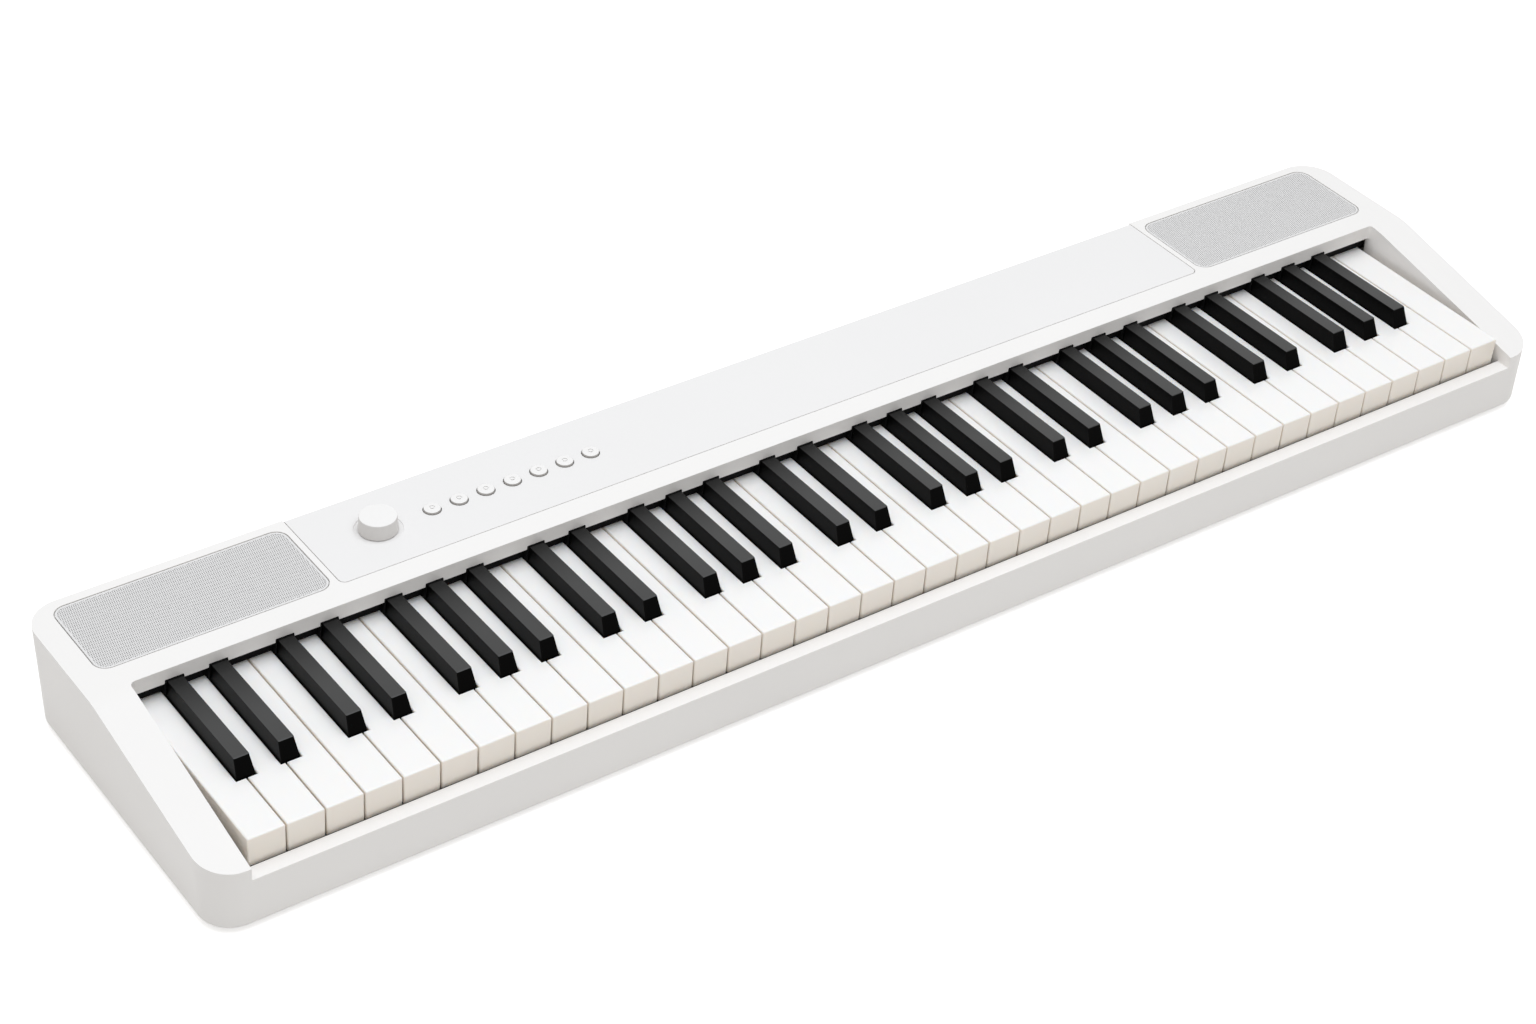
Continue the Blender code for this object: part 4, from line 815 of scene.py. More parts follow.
class Palette:
    """Every finish of the instrument."""

    def __init__(self) -> None:
        """Builds the finishes."""
        self.case = Finish(
            "case_plastic", (0.885, 0.862, 0.838), 0.46, grain_strength=0.18, specular=0.35
        ).build()
        self.panel = Finish(
            "panel_plastic", (0.845, 0.827, 0.812), 0.42, grain_strength=0.10, specular=0.35
        ).build()
        # White keys: painted light, a top whiter than the sides, and the sides in a warmer painted shade.
        self.key_white = HeightPaintedShadeFinish(
            "key_white_plastic", (0.935, 0.908, 0.884), 0.24, drift=0.015, speckle=0.004,
            grain_strength=0.03, coat=0.1, subsurface=0.35, painted_side_shade=(0.93, 0.86, 0.78),
            level=KEY_TOP - 0.0002, fade=0.0008,
        ).build()
        # Black keys: painted light by facing, a lighter, glossier top and near-black sides, and painted
        # shade on the top by the wall.
        self.key_black = FacingPaintedLightFinish(
            "key_black_plastic", (0.030, 0.0298, 0.0292), 0.34, drift=0.5, drift_scale=14,
            grain_strength=0.12, grain_scale=2400, specular=0.42, painted_side_shade=(0.0022, 0.0021, 0.002),
            painted_wall_shade=(0.03, -0.03),
        ).build()
        self.strip = Finish("strip_plastic", (0.003,) * 3, 0.6, grain_strength=0.3, specular=0.1).build()
        self.grille = Finish(
            "grille_paint", (0.765, 0.752, 0.742), 0.4, metallic=0.1, grain_strength=0.08
        ).build()
        self.screen = Finish("dust_screen", (0.20,) * 3, 0.9, speckle=0.3, grain_strength=0.6).build()
        # Knob and buttons: flanks painted darker than the tops, as painted shade.
        cap = FacingPaintedLightFinish(
            "cap_plastic", (0.88, 0.86, 0.84), 0.36, grain_strength=0.06, specular=0.4,
            painted_side_shade=(0.72, 0.70, 0.68), side_specular=0.3, front_specular=0.3,
        )
        self.cap = cap.build()
        # The buttons' flanks darker still: painted shadow of the gap round each button.
        self.button = replace(cap, name="button_plastic", painted_side_shade=(0.46, 0.44, 0.42)).build()
        self.chassis = Finish("chassis_plastic", (0.30, 0.30, 0.31), 0.6, grain_strength=0.3).build()
        self.rubber = Finish("foot_rubber", (0.035,) * 3, 0.85, grain_strength=0.5, sheen=0.1).build()
        self.silicone = Finish("dome_silicone", (0.55, 0.53, 0.50), 0.6, grain_strength=0.2).build()
        self.steel = Finish(
            "bright_steel", (0.62, 0.62, 0.63), 0.28, metallic=1.0, drift=0.06, spread=0.16,
            grain_strength=0.1,
        ).build()
        self.felt = Finish(
            "stop_felt_wool", (0.09, 0.19, 0.13), 0.95, drift=0.3, drift_scale=300, speckle=0.5,
            grain_strength=0.9, grain_depth=0.0003, sheen=0.6,
        ).build()
        self.board = BoardFinish(
            "solder_mask", (0.03, 0.17, 0.07), 0.45, coat=0.3, grain_strength=0.1
        ).build()
        self.socket = Finish("socket_plastic", (0.02,) * 3, 0.45, grain_strength=0.15).build()


class Assembly:
    """A sub-assembly of the instrument."""

    def build(self, palette: Palette) -> Iterator[Obj]:
        """Builds the finished pieces one by one."""
        raise NotImplementedError


@dataclass
class CaseShell(Assembly):
    """The upper case: deck, cheeks, walls and front rail in one moulding."""

    half_length: float = 0.48675
    half_depth: float = 0.11425
    corner_radius: float = 0.022
    corner_steps: int = 18
    foot_round: float = 0.0035
    foot_steps: int = 6
    lip: float = 0.002
    draft: float = 0.002
    wall: float = 0.0025
    deck_thickness: float = 0.0034
    soft_round: float = 0.0030
    edge_round: float = 0.0017
    crisp_round: float = 0.0005
    round_steps: int = 5
    seam_round: float = 0.00025
    well_half: float = 0.46175
    well_radius: float = 0.0040
    sharper_end: float = 0.45
    deck_share: float = 0.75
    wall_y: float = 0.02645
    wall_lift: float = 0.0083
    rail_depth: float = 0.011
    rail_top: float = 0.0355
    rail_edge: float = 0.004
    cheek_step: float = 0.008
    crease_radius: float = 0.06
    crease_steps: int = 8
    clearance: float = 0.0007
    bed_depth: float = 0.0003
    bed_steps: int = 10
    mouth_inset: Pair = (0.014, 0.011)
    mouth_flat: float = 0.0005
    panel_clearance: float = 0.0005
    panel_steps: int = 6
    window_past: float = 0.006
    window_half: float = 0.017
    wall_foot: float = 0.0029
    past: float = 0.004
    overlap: float = 0.001
    beyond: float = 0.03

    def ring(self, inset: float, level: float) -> list[Point]:
        """The case's plan outline, set in by a width at a height.

        Args:
            inset: The width.
            level: The height.

        Returns:
            The outline's points.
        """
        half = (self.half_length - inset, self.half_depth - inset)
        outline = rounded_rectangle((0, 0), half, self.corner_radius - inset, self.corner_steps)
        return [(x, y, level) for x, y in outline]

    def outer_form(self) -> Obj:
        """The drafted outer body with a round foot edge.

        Returns:
            The body, which reaches past the deck.
        """
        rings = []
        for i in range(self.foot_steps + 1):
            angle = math.pi / 2 * i / self.foot_steps
            level = CASE_LOW + self.foot_round * (1 - math.cos(angle))
            share = (level - CASE_LOW) / (DECK_TOP - CASE_LOW)
            inset = self.draft * (1 - share) + self.foot_round * (1 - math.sin(angle))
            rings.append(self.ring(inset, level))
        rings.append(self.ring(0, DECK_TOP + self.past))
        return loft("upper_case_shell", rings)

    def above(self, drop: float, blend: float) -> Obj:
        """Everything above the cheeks' slope and the deck.

        Args:
            drop: How far the surface is lowered.
            blend: Radius of the blend between slope and deck.

        Returns:
            A cutter.
        """
        front, rear = -self.half_depth, self.half_depth + self.beyond
        low = self.rail_top + self.cheek_step - drop
        top = DECK_TOP - drop
        centre = (self.wall_y, top - blend)
        across, up = centre[0] - front, centre[1] - low
        rise = math.atan2(up, across) + math.asin(blend / math.hypot(across, up))
        start = front - self.beyond
        outline = [(start, low - self.beyond * math.tan(rise))]
        outline += arc(centre, blend, 90 + math.degrees(rise), 90, self.crease_steps)
        outline += [(rear, top), (rear, top + self.beyond), (start, top + self.beyond)]
        reach = self.half_length + self.beyond
        return side_profile("above", outline, (-reach, reach))

    def well(self) -> Obj:
        """The key well and the space above the front rail, with the well's rear corners rounded in plan.

        Returns:
            A cutter.
        """
        front, rail = -self.half_depth - self.past, -self.half_depth + self.rail_depth
        low, top = CASE_LOW - self.past, DECK_TOP + 2 * self.past
        outline = [(front, self.rail_top), (rail, self.rail_top), (rail, low), (self.wall_y, low)]
        outline += [(self.wall_y, top), (front, top)]
        form = side_profile("well", outline, (-self.well_half, self.well_half))

        def weight(edge: Edge) -> float:
            """Picks the two upright edges at the rear, and keeps the right one sharper.

            Args:
                edge: An edge of the cutter.

            Returns:
                Its share of the well's radius.
            """
            first, second = (vertex.co for vertex in edge.verts)
            at_rear = all(abs(end.y - self.wall_y) < MERGE for end in (first, second))
            if not at_rear or abs(first.z - second.z) < self.past:
                return 0.0
            return self.sharper_end if first.x > 0 else 1.0

        return round_edges(form, self.well_radius, self.round_steps, weight)

    def key_passage(self) -> Obj:
        """Where the keys pass under the wall, with a notch that follows each collar.

        Returns:
            A cutter.
        """
        low, top = CASE_LOW - 2 * self.past, KEY_TOP + self.wall_lift
        outline = [(-self.well_half, low), (-self.well_half, top)]
        for middle in KeyBed.black_middles():
            outline += Collar.outline(middle, Collar.seam, top)
        outline += [(self.well_half, top), (self.well_half, low)]
        ends = (self.wall_y - self.well_radius - self.overlap, self.wall_y + self.wall + self.overlap)
        return prisms("passage", [outline], ends)

    def cavity(self) -> Obj:
        """The hollow that leaves walls all round, by the key well and over the rail, and a lip at the foot.

        Returns:
            A cutter.
        """
        inset, seat = self.draft + self.wall, CASE_LOW + self.foot_round
        hollow = loft("hollow", [self.ring(inset, level) for level in (seat, DECK_TOP + self.past)])
        levels = (CASE_LOW - self.past, seat + self.overlap)
        mouth = loft("foot_mouth", [self.ring(inset + self.lip, level) for level in levels])
        combine(hollow, Operation.JOIN, mouth)
        x = (-self.well_half - self.wall, self.well_half + self.wall)
        y = (-self.half_depth + self.rail_depth - self.wall, self.wall_y + self.wall)
        top = DECK_TOP + 2 * self.past
        walls = block("walls", x, y, (CASE_LOW + self.wall_foot, top))
        combine(walls, Operation.CUT, self.key_passage())
        front = (-self.half_depth - self.past, y[0] + self.overlap)
        lip = block("lip", x, front, (self.rail_top - self.wall, top))
        over = self.above(self.deck_thickness, self.crease_radius - self.deck_thickness)
        return combine(hollow, Operation.CUT, over, walls, lip)

    def deck_cuts(self) -> Iterator[Obj]:
        """The beds of the grilles and the panel, the speaker mouths and the window under the controls.

        Returns:
            The cutters.
        """
        top, through = DECK_TOP + self.past, (DECK_TOP - self.deck_thickness - self.overlap, DECK_TOP)
        for side in Side:
            box = Box("grille_" + side.value)
            half = (box.half[0] + self.clearance, box.half[1] + self.clearance)
            bed = rounded_rectangle(box.middle, half, Grille.corner + self.clearance, self.bed_steps)
            yield plate("grille_bed", bed, (box.low.z - self.bed_depth, top))
            inner = (half[0] - self.mouth_inset[0], half[1] - self.mouth_inset[1])
            mouth = rounded_rectangle(box.middle, inner, inner[1] - self.mouth_flat, self.bed_steps)
            yield plate("mouth", mouth, through)
        panel, gap = Box("control_panel"), self.panel_clearance
        left, right, front = panel.low.x - gap, panel.high.x + gap, panel.low.y - gap
        radius = ControlPanel.corner + gap
        outline = arc((left + radius, front + radius), radius, 180, 270, self.panel_steps)
        outline += arc((right - radius, front + radius), radius, 270, 360, self.panel_steps)
        outline += [(right, self.half_depth + self.past), (left, self.half_depth + self.past)]
        yield plate("panel_bed", outline, (panel.low.z - gap, top))
        knob = Box("volume_knob")
        x = (knob.low.x - self.window_past, Box("button_7").high.x + self.window_past)
        y = (knob.middle[1] - self.window_half, knob.middle[1] + self.window_half)
        yield block("window", x, y, through)

    def edge_weight(self, edge: Edge) -> float:
        """Gives each edge its round: soft on the deck's and the rail's fronts, crisp beside the keys.

        Args:
            edge: An edge of the outer form with the well cut out.

        Returns:
            Its share of the soft round.
        """
        lowest = min(vertex.co.z for vertex in edge.verts)
        if edge.calc_face_angle(0) < math.radians(35) or lowest < CASE_LOW + self.overlap:
            return 0.0
        middle = (edge.verts[0].co + edge.verts[1].co) / 2
        crisp, normal = self.crisp_round / self.soft_round, self.edge_round / self.soft_round
        if abs(middle.x) > self.well_half + MERGE:
            return normal
        start = self.wall_y - self.well_radius
        if middle.y > start:
            turned = min(1.0, (middle.y - start) / self.well_radius)
            return crisp + (self.deck_share - crisp) * turned ** 2
        at_front = middle.y < -self.half_depth + self.rail_edge
        return 1.0 if at_front and abs(middle.x) < self.well_half - MERGE else crisp

    def build(self, palette: Palette) -> Iterator[Obj]:
        """Builds the shell and stands it for its node.

        Args:
            palette: The finishes.

        Returns:
            The finished piece.
        """
        body = self.outer_form()
        combine(body, Operation.CUT, self.above(0, self.crease_radius), self.well())
        round_edges(body, self.soft_round, self.round_steps, self.edge_weight)
        edit(body, lambda bm: bmesh.ops.triangulate(bm, faces=bm.faces))
        rear = RearSockets().cutters(self.half_depth, self.past)
        combine(body, Operation.CUT, self.cavity(), *self.deck_cuts(), *rear)
        round_edges(body, self.seam_round, 2, top_edge(DECK_TOP, 60))
        shade(body, 32)
        yield put(body, palette.case, CASE_BODY, "case_white", "upper_case")


class Collar:
    """The dark collar that fits a black key's tapered section where it passes the wall."""

    gap = 0.0003
    skin = 0.0006
    seam = 0.0002
    foot_half = 0.0057
    lean = 0.001 / 0.011
    key_crest = 0.0101
    crest_thinner = 0.0004

    @classmethod
    def half(cls, level: float, wide: float) -> float:
        """Half the width at a height, for an outline that keeps a distance from the key."""
        return cls.foot_half + wide - (level - KEY_TOP) * cls.lean

    @classmethod
    def outline(cls, middle: float, wide: float, foot: float) -> list[Pair]:
        """A tapered outline about a black key.

        Args:
            middle: The key's place along X.
            wide: Distance beyond the collar's outer side; negative for the slot inside it.
            foot: Height at which the outline starts.

        Returns:
            Its four points, from the lower left over the top to the lower right.
        """
        from_key = cls.gap + cls.skin + wide
        crest = KEY_TOP + cls.key_crest + max(from_key - cls.crest_thinner, 0.0001)
        low, high = cls.half(foot, from_key), cls.half(crest, from_key)
        return [(middle - low, foot), (middle - high, crest), (middle + high, crest), (middle + low, foot)]


@dataclass
class KeyBed(Assembly):
    """All the keys, and the strip with a collar for each black key."""

    white_round: float = 0.0010
    black_round: float = 0.0006
    segments: int = 3
    collar_round: float = 0.0004
    strip_lift: float = 0.0008
    strip_set: float = 0.0046
    collar_root: float = 0.0018
    past: float = 0.001
    front_flat: float = 0.0002

    @staticmethod
    def nodes_of(colour: KeyColour) -> list[str]:
        """Names of the nodes that hold keys of one colour.

        Args:
            colour: Which keys.

        Returns:
            The banks and the single keys, by name.
        """
        found = []
        for name in sorted(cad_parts):
            is_bank = name.startswith(colour.value + "_bank")
            is_single = name.startswith("key_") and name != "key_chassis"
            if is_bank or is_single and ("sharp" in name) == (colour is KeyColour.BLACK):
                found.append(name)
        return found

    @classmethod
    def black_middles(cls) -> list[float]:
        """Middle of each black key along X, read from the keys' sections at the white keys' height.

        Returns:
            The places, from the left.
        """
        found = []
        for name in cls.nodes_of(KeyColour.BLACK):
            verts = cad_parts[name].data.vertices
            edges = sorted(set(round(v.co.x, 5) for v in verts if abs(v.co.z - KEY_TOP) < 1e-4))
            groups: list[list[float]] = []
            for x in edges:
                if groups and x - groups[-1][0] < 0.0125:
                    groups[-1].append(x)
                else:
                    groups.append([x])
            found += [(group[0] + group[-1]) / 2 for group in groups]
        return sorted(found)

    @staticmethod
    def white_weight(edge: Edge) -> float:
        """Rounds the top's outline and the front corners of a white key.

        Args:
            edge: An edge of the key.

        Returns:
            Its share of the round.
        """
        faces = [(face.normal, face.calc_center_median()) for face in edge.link_faces]
        top = [normal.z > 0.9 and centre.z > KEY_TOP - 1e-4 for normal, centre in faces]
        if any(top) and not all(top):
            return 1.0
        forward = [normal.y < -0.9 and centre.y < KEY_FRONT + 0.001 for normal, centre in faces]
        return 0.7 if any(forward) and not all(forward) else 0.0

    @staticmethod
    def black_weight(edge: Edge) -> float:
        """Rounds the top's outline and the sloping front corners of a black key.

        Args:
            edge: An edge of the key.

        Returns:
            Its share of the round.
        """
        faces = [(face.normal, face.calc_center_median()) for face in edge.link_faces]
        top = [normal.z > 0.9 and centre.z > KEY_TOP + 0.006 for normal, centre in faces]
        if any(top) and not all(top):
            return 1.0
        front = [n.y < -0.7 and centre.z > KEY_TOP - 0.012 and centre.y < -0.045 for n, centre in faces]
        upright = abs(edge.verts[0].co.z - edge.verts[1].co.z) > 0.002
        return 0.8 if any(front) and not all(front) and upright else 0.0

    def strip(self) -> Obj:
        """The strip behind the wall, with a collar through the wall round each black key.

        Returns:
            The strip, not dressed yet.
        """
        box, middles = Box("collar_strip"), self.black_middles()
        back, foot = box.low.y + self.strip_set, KEY_TOP + self.strip_lift
        end = CaseShell.well_half - Collar.seam
        piece = block("collar_strip_moulding", (-end, end), (back, box.high.y), (foot, box.high.z))
        outlines = [Collar.outline(x, 0, foot) for x in middles]
        combine(piece, Operation.JOIN, prisms("collars", outlines, (box.low.y, back + self.collar_root)))
        outlines = [Collar.outline(x, -Collar.skin, foot - self.past) for x in middles]
        ends = (box.low.y - self.past, box.high.y + self.past)
        combine(piece, Operation.CUT, prisms("slots", outlines, ends))

        def weight(edge: Edge) -> float:
            """Rounds the edges at the front of the collars."""
            near = all(vertex.co.y < back - self.front_flat for vertex in edge.verts)
            return 1.0 if near and edge.calc_face_angle(0) > math.radians(60) else 0.0

        return shade(round_edges(piece, self.collar_round, 2, weight), 32)

    def build(self, palette: Palette) -> Iterator[Obj]:
        """Builds each key or bank with its edges rounded, and then the strip.

        Args:
            palette: The finishes.

        Returns:
            The finished pieces.
        """
        looks = {
            KeyColour.WHITE: (palette.key_white, self.white_round, self.white_weight),
            KeyColour.BLACK: (palette.key_black, self.black_round, self.black_weight),
        }
        for colour, (finish, width, rule) in looks.items():
            for node in self.nodes_of(colour):
                piece = round_edges(solid_copy(node, node + "_moulding"), width, self.segments, rule)
                yield put(shade(piece, 28), finish, node, "key_" + colour.value, node)
        yield put(self.strip(), palette.strip, CASE_BODY, "strip_black", "collar_strip")


@dataclass
class Grille(Assembly):
    """A perforated sheet with a plain margin, let into the deck over a thin dust screen."""

    side: Side
    corner: float = 0.008
    corner_steps: int = 12
    margin: float = 0.0013
    under_margin: float = 0.6
    margin_round: float = 0.00015
    margin_rise: float = 0.0001
    margin_drop: float = 0.0003
    past: float = 0.001
    pitch: float = 0.00142
    turn: float = math.radians(18.5)
    hole_share: float = 0.56
    sheet: float = 0.0007
    sink: float = 0.0001
    screen_drop: float = 0.0002
    screen_height: float = 0.0003

    def perforation(self, material: Material, half: Pair) -> Group:
        """A sheet of six-sided cells with a hole in each, clipped to a rounded rectangle.

        Args:
            material: The sheet's finish.
            half: Half the sheet's length and depth.

        Returns:
            The group, which makes the sheet about the origin.
        """
        values = {
            "Pitch": self.pitch, "Hole Share": self.hole_share, "Thickness": self.sheet,
            "Half Length": half[0], "Half Depth": half[1], "Corner": self.corner, "Turn": self.turn,
        }
        group = Group("perforated_sheet", "GeometryNodeTree", "Geometry", values, "Geometry")
        pitch, calc = group.source["Pitch"], group.math
        rows = calc("MULTIPLY", pitch, math.sqrt(3) / 2)
        reach = calc("ADD", group.source["Half Length"], group.source["Half Depth"])
        sizes = {}
        for axis, step in (("X", pitch), ("Y", rows)):
            count = calc("MULTIPLY", calc("ROUND", calc("DIVIDE", reach, step)), 2.0)
            sizes["Size " + axis] = calc("MULTIPLY", count, step)
            sizes["Vertices " + axis] = calc("ADD", count, 1.0)
        lattice = group.get("GeometryNodeMeshGrid", sizes)
        place = group.get("GeometryNodeInputPosition")
        row = calc("ROUND", calc("DIVIDE", group.part(place, "Y"), rows))
        shift = calc("MULTIPLY", calc("PINGPONG", row, 1.0), calc("MULTIPLY", pitch, 0.5))
        offset = group.get("ShaderNodeCombineXYZ", {"X": shift})
        moved = group.get("GeometryNodeSetPosition", {"Geometry": lattice, "Offset": offset})
        angle = group.get("ShaderNodeCombineXYZ", {"Z": group.source["Turn"]})
        turned = group.get("GeometryNodeTransform", {"Geometry": moved, "Rotation": angle})
        inputs = {"Geometry": turned, "Selection": self._outside(group, place)}
        clipped = group.get("GeometryNodeDeleteGeometry", inputs, domain="POINT")
        inputs = {"Points": clipped, "Instance": self._cell(group), "Rotation": angle}
        cells = group.get("GeometryNodeInstanceOnPoints", inputs)
        real = group.get("GeometryNodeRealizeInstances", {0: cells})
        flat = group.get("GeometryNodeMergeByDistance", {"Geometry": real, "Distance": 1e-5})
        group.finish(self._thickened(group, flat), material)
        return group

    @staticmethod
    def _outside(group: Group, place: Socket) -> Socket:
        """Picks the points beyond the rounded rectangle.

        Args:
            group: The sheet's group.
            place: Each point's place.

        Returns:
            True for those points.
        """
        calc, corner = group.math, group.source["Corner"]
        squares = []
        for axis, half in (("X", "Half Length"), ("Y", "Half Depth")):
            flat = calc("SUBTRACT", group.source[half], corner)
            past = calc("SUBTRACT", calc("ABSOLUTE", group.part(place, axis)), flat)
            past = calc("MAXIMUM", past, 0.0)
            squares.append(calc("MULTIPLY", past, past))
        return calc("GREATER_THAN", calc("SQRT", calc("ADD", *squares)), corner)

    @staticmethod
    def _cell(group: Group) -> Socket:
        """One six-sided cell with a six-sided hole, one face thick.

        Args:
            group: The sheet's group.

        Returns:
            The cell's mesh.
        """
        radius = group.math("DIVIDE", group.source["Pitch"], math.sqrt(3))
        outer = group.get("GeometryNodeMeshCircle", {"Vertices": 6, "Radius": radius}, fill_type="NGON")
        upright = group.get("GeometryNodeTransform", {"Geometry": outer, "Rotation": (0, 0, math.pi / 6)})
        risen = group.add("GeometryNodeExtrudeMesh", {"Mesh": upright, "Offset Scale": 0.0}, mode="FACES")
        inputs = {"Geometry": risen.outputs[0], "Selection": risen.outputs["Top"]}
        share = {"Scale": group.source["Hole Share"]}
        inputs["Geometry"] = group.get("GeometryNodeScaleElements", inputs | share, domain="FACE")
        return group.get("GeometryNodeDeleteGeometry", inputs, domain="FACE")

    @staticmethod
    def _thickened(group: Group, sheet: Socket) -> Socket:
        """Gives a flat sheet its thickness, closed all round.

        Args:
            group: The sheet's group.
            sheet: The flat sheet.

        Returns:
            The closed sheet.
        """
        down = group.math("MULTIPLY", group.source["Thickness"], -1.0)
        offset = group.get("ShaderNodeCombineXYZ", {"Z": down})
        inputs = {"Mesh": sheet, "Offset": offset, "Offset Scale": 1.0, "Individual": False}
        lower = group.get("GeometryNodeExtrudeMesh", inputs, mode="FACES")
        both = group.add("GeometryNodeJoinGeometry", {0: lower})
        group.feed(both.inputs[0], sheet)
        return group.get("GeometryNodeMergeByDistance", {"Geometry": both.outputs[0], "Distance": MERGE})

    def build(self, palette: Palette) -> Iterator[Obj]:
        """Builds one grille: the perforated sheet, its plain margin and the screen below.

        Args:
            palette: The finishes.

        Returns:
            The finished pieces.
        """
        node = "grille_" + self.side.value
        box = Box(node)
        reach = self.margin * self.under_margin
        group = self.perforation(palette.grille, (box.half[0] - reach, box.half[1] - reach))
        sheet = group.apply(node + "_sheet", bpy.data.meshes.new(node + "_sheet"))
        place = box.axis + Vector((0, 0, box.high.z)) - Vector((0, 0, self.sink))
        edit(sheet, lambda bm: bmesh.ops.recalc_face_normals(bm, faces=bm.faces))
        edit(sheet, lambda bm: bmesh.ops.translate(bm, vec=place, verts=bm.verts))
        yield put(sheet, palette.grille, CASE_BODY, "grille_metal", node)
        centre = (box.axis.x, box.axis.y)
        outer = rounded_rectangle(centre, box.half, self.corner, self.corner_steps)
        half = (box.half[0] - self.margin, box.half[1] - self.margin)
        inner = rounded_rectangle(centre, half, self.corner - self.margin, self.corner_steps)
        levels = (box.high.z - self.sheet - self.margin_drop, box.high.z + self.margin_rise)
        margin = plate(node + "_margin", outer, levels)
        opening = plate("opening", inner, (levels[0] - self.past, levels[1] + self.past))
        combine(margin, Operation.CUT, opening)
        round_edges(margin, self.margin_round, 2, lambda edge: 1.0 if edge.calc_face_angle(0) > 1 else 0.0)
        yield put(shade(margin, 32), palette.grille, CASE_BODY, "grille_metal")
        floor = box.low.z - self.screen_drop
        screen = plate(node + "_screen", outer, (floor, floor + self.screen_height))
        yield put(screen, palette.screen, CASE_BODY, "strip_black")


@dataclass
class ControlPanel(Assembly):
    """The flat panel between the grilles, with the dish round the knob."""

    corner: float = 0.004
    edge_round: float = 0.00022

    def build(self, palette: Palette) -> Iterator[Obj]:
        """Builds the panel with fine round edges.

        Args:
            palette: The finishes.

        Returns:
            The finished piece.
        """
        rule = top_edge(Box("control_panel").high.z, 40)
        piece = round_edges(solid_copy("control_panel", "control_panel_moulding"), self.edge_round, 2, rule)
        yield put(shade(piece, 32), palette.panel, CASE_BODY, "panel_white", "control_panel")


@dataclass
class Controls(Assembly):
    """The volume knob and the push buttons."""

    knob_height: float = 0.010
    knob_round: float = 0.0007
    knob_taper: float = 0.0006
    knob_crown: float = 0.0003
    knob_hollow: float = 0.0004
    knob_rim: float = 0.001
    shaft_radius: float = 0.003
    stem_radius: float = 0.0016
    flange_width: float = 0.0010
    flange_drop: float = 0.0021
    flange_height: float = 0.001
    button_round: float = 0.0006
    button_crown: float = 0.00035
    button_lift: float = 0.0003
    ring_radius: float = 0.0014
    ring_width: float = 0.0006
    ring_depth: float = 0.0003
    ring_slope: float = 0.00004

    def knob(self) -> Obj:
        """The knob: a slightly tapered cap with a shallow crown, on its shaft.

        Returns:
            The knob, not dressed yet.
        """
        box = Box("volume_knob")
        radius, top, shaft = box.half[0], box.high.z, self.shaft_radius
        foot, rim, taper = top - self.knob_height, radius - self.knob_rim, radius - self.knob_taper
        inner = foot + self.knob_hollow
        profile = [(0, box.low.z), (shaft, box.low.z), (shaft, inner), (rim, inner)]
        profile += rounded((radius, foot), (rim, foot), (taper, top), self.knob_hollow, 3)
        profile += rounded((taper, top), (radius, foot), (0, top), self.knob_round, 8)
        crown = ((0.80, 0.2), (0.45, 0.8), (0, 1))
        profile += [(radius * share, top + self.knob_crown * rise) for share, rise in crown]
        return lathe("volume_knob_cap", profile, box.axis, 96)

    def button(self, node: str) -> Obj:
        """One button: a low crowned cap with a fine engraved ring, a flange and a stem.

        Args:
            node: The button's node.

        Returns:
            The button, not dressed yet.
        """
        box, stem = Box(node), self.stem_radius
        flange = box.half[0]
        radius = flange - self.flange_width
        flange_top, top = DECK_TOP - self.flange_drop, box.high.z + self.button_lift
        flange_low = flange_top - self.flange_height
        shoulder = (radius, top - self.button_crown)
        profile = [(0, box.low.z), (stem, box.low.z), (stem, flange_low), (flange, flange_low)]
        profile += [(flange, flange_top), (radius, flange_top)]
        profile += rounded(shoulder, (radius, flange_top), (0, top), self.button_round, 5)
        profile += [(radius * share, top - self.button_crown * share ** 2) for share in (0.8, 0.6, 0.42)]
        outer = self.ring_radius + self.ring_width / 2
        inner = self.ring_radius - self.ring_width / 2
        floor = top - self.ring_depth
        profile += [(outer, top - self.ring_slope / 2), (outer - self.ring_slope, floor)]
        profile += [(inner + self.ring_slope, floor), (inner, top), (0, top)]
        return lathe(node + "_cap", profile, box.axis, 48)

    def build(self, palette: Palette) -> Iterator[Obj]:
        """Builds the knob and every button, each on its own body.

        Args:
            palette: The finishes.

        Returns:
            The finished pieces.
        """
        knob = shade(self.knob(), 40, weighted=False)
        yield put(knob, palette.cap, "volume_knob", "case_white", "volume_knob")
        for node in sorted(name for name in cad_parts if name.startswith("button_")):
            button = shade(self.button(node), 35, weighted=False)
            yield put(button, palette.button, node, "case_white", node)


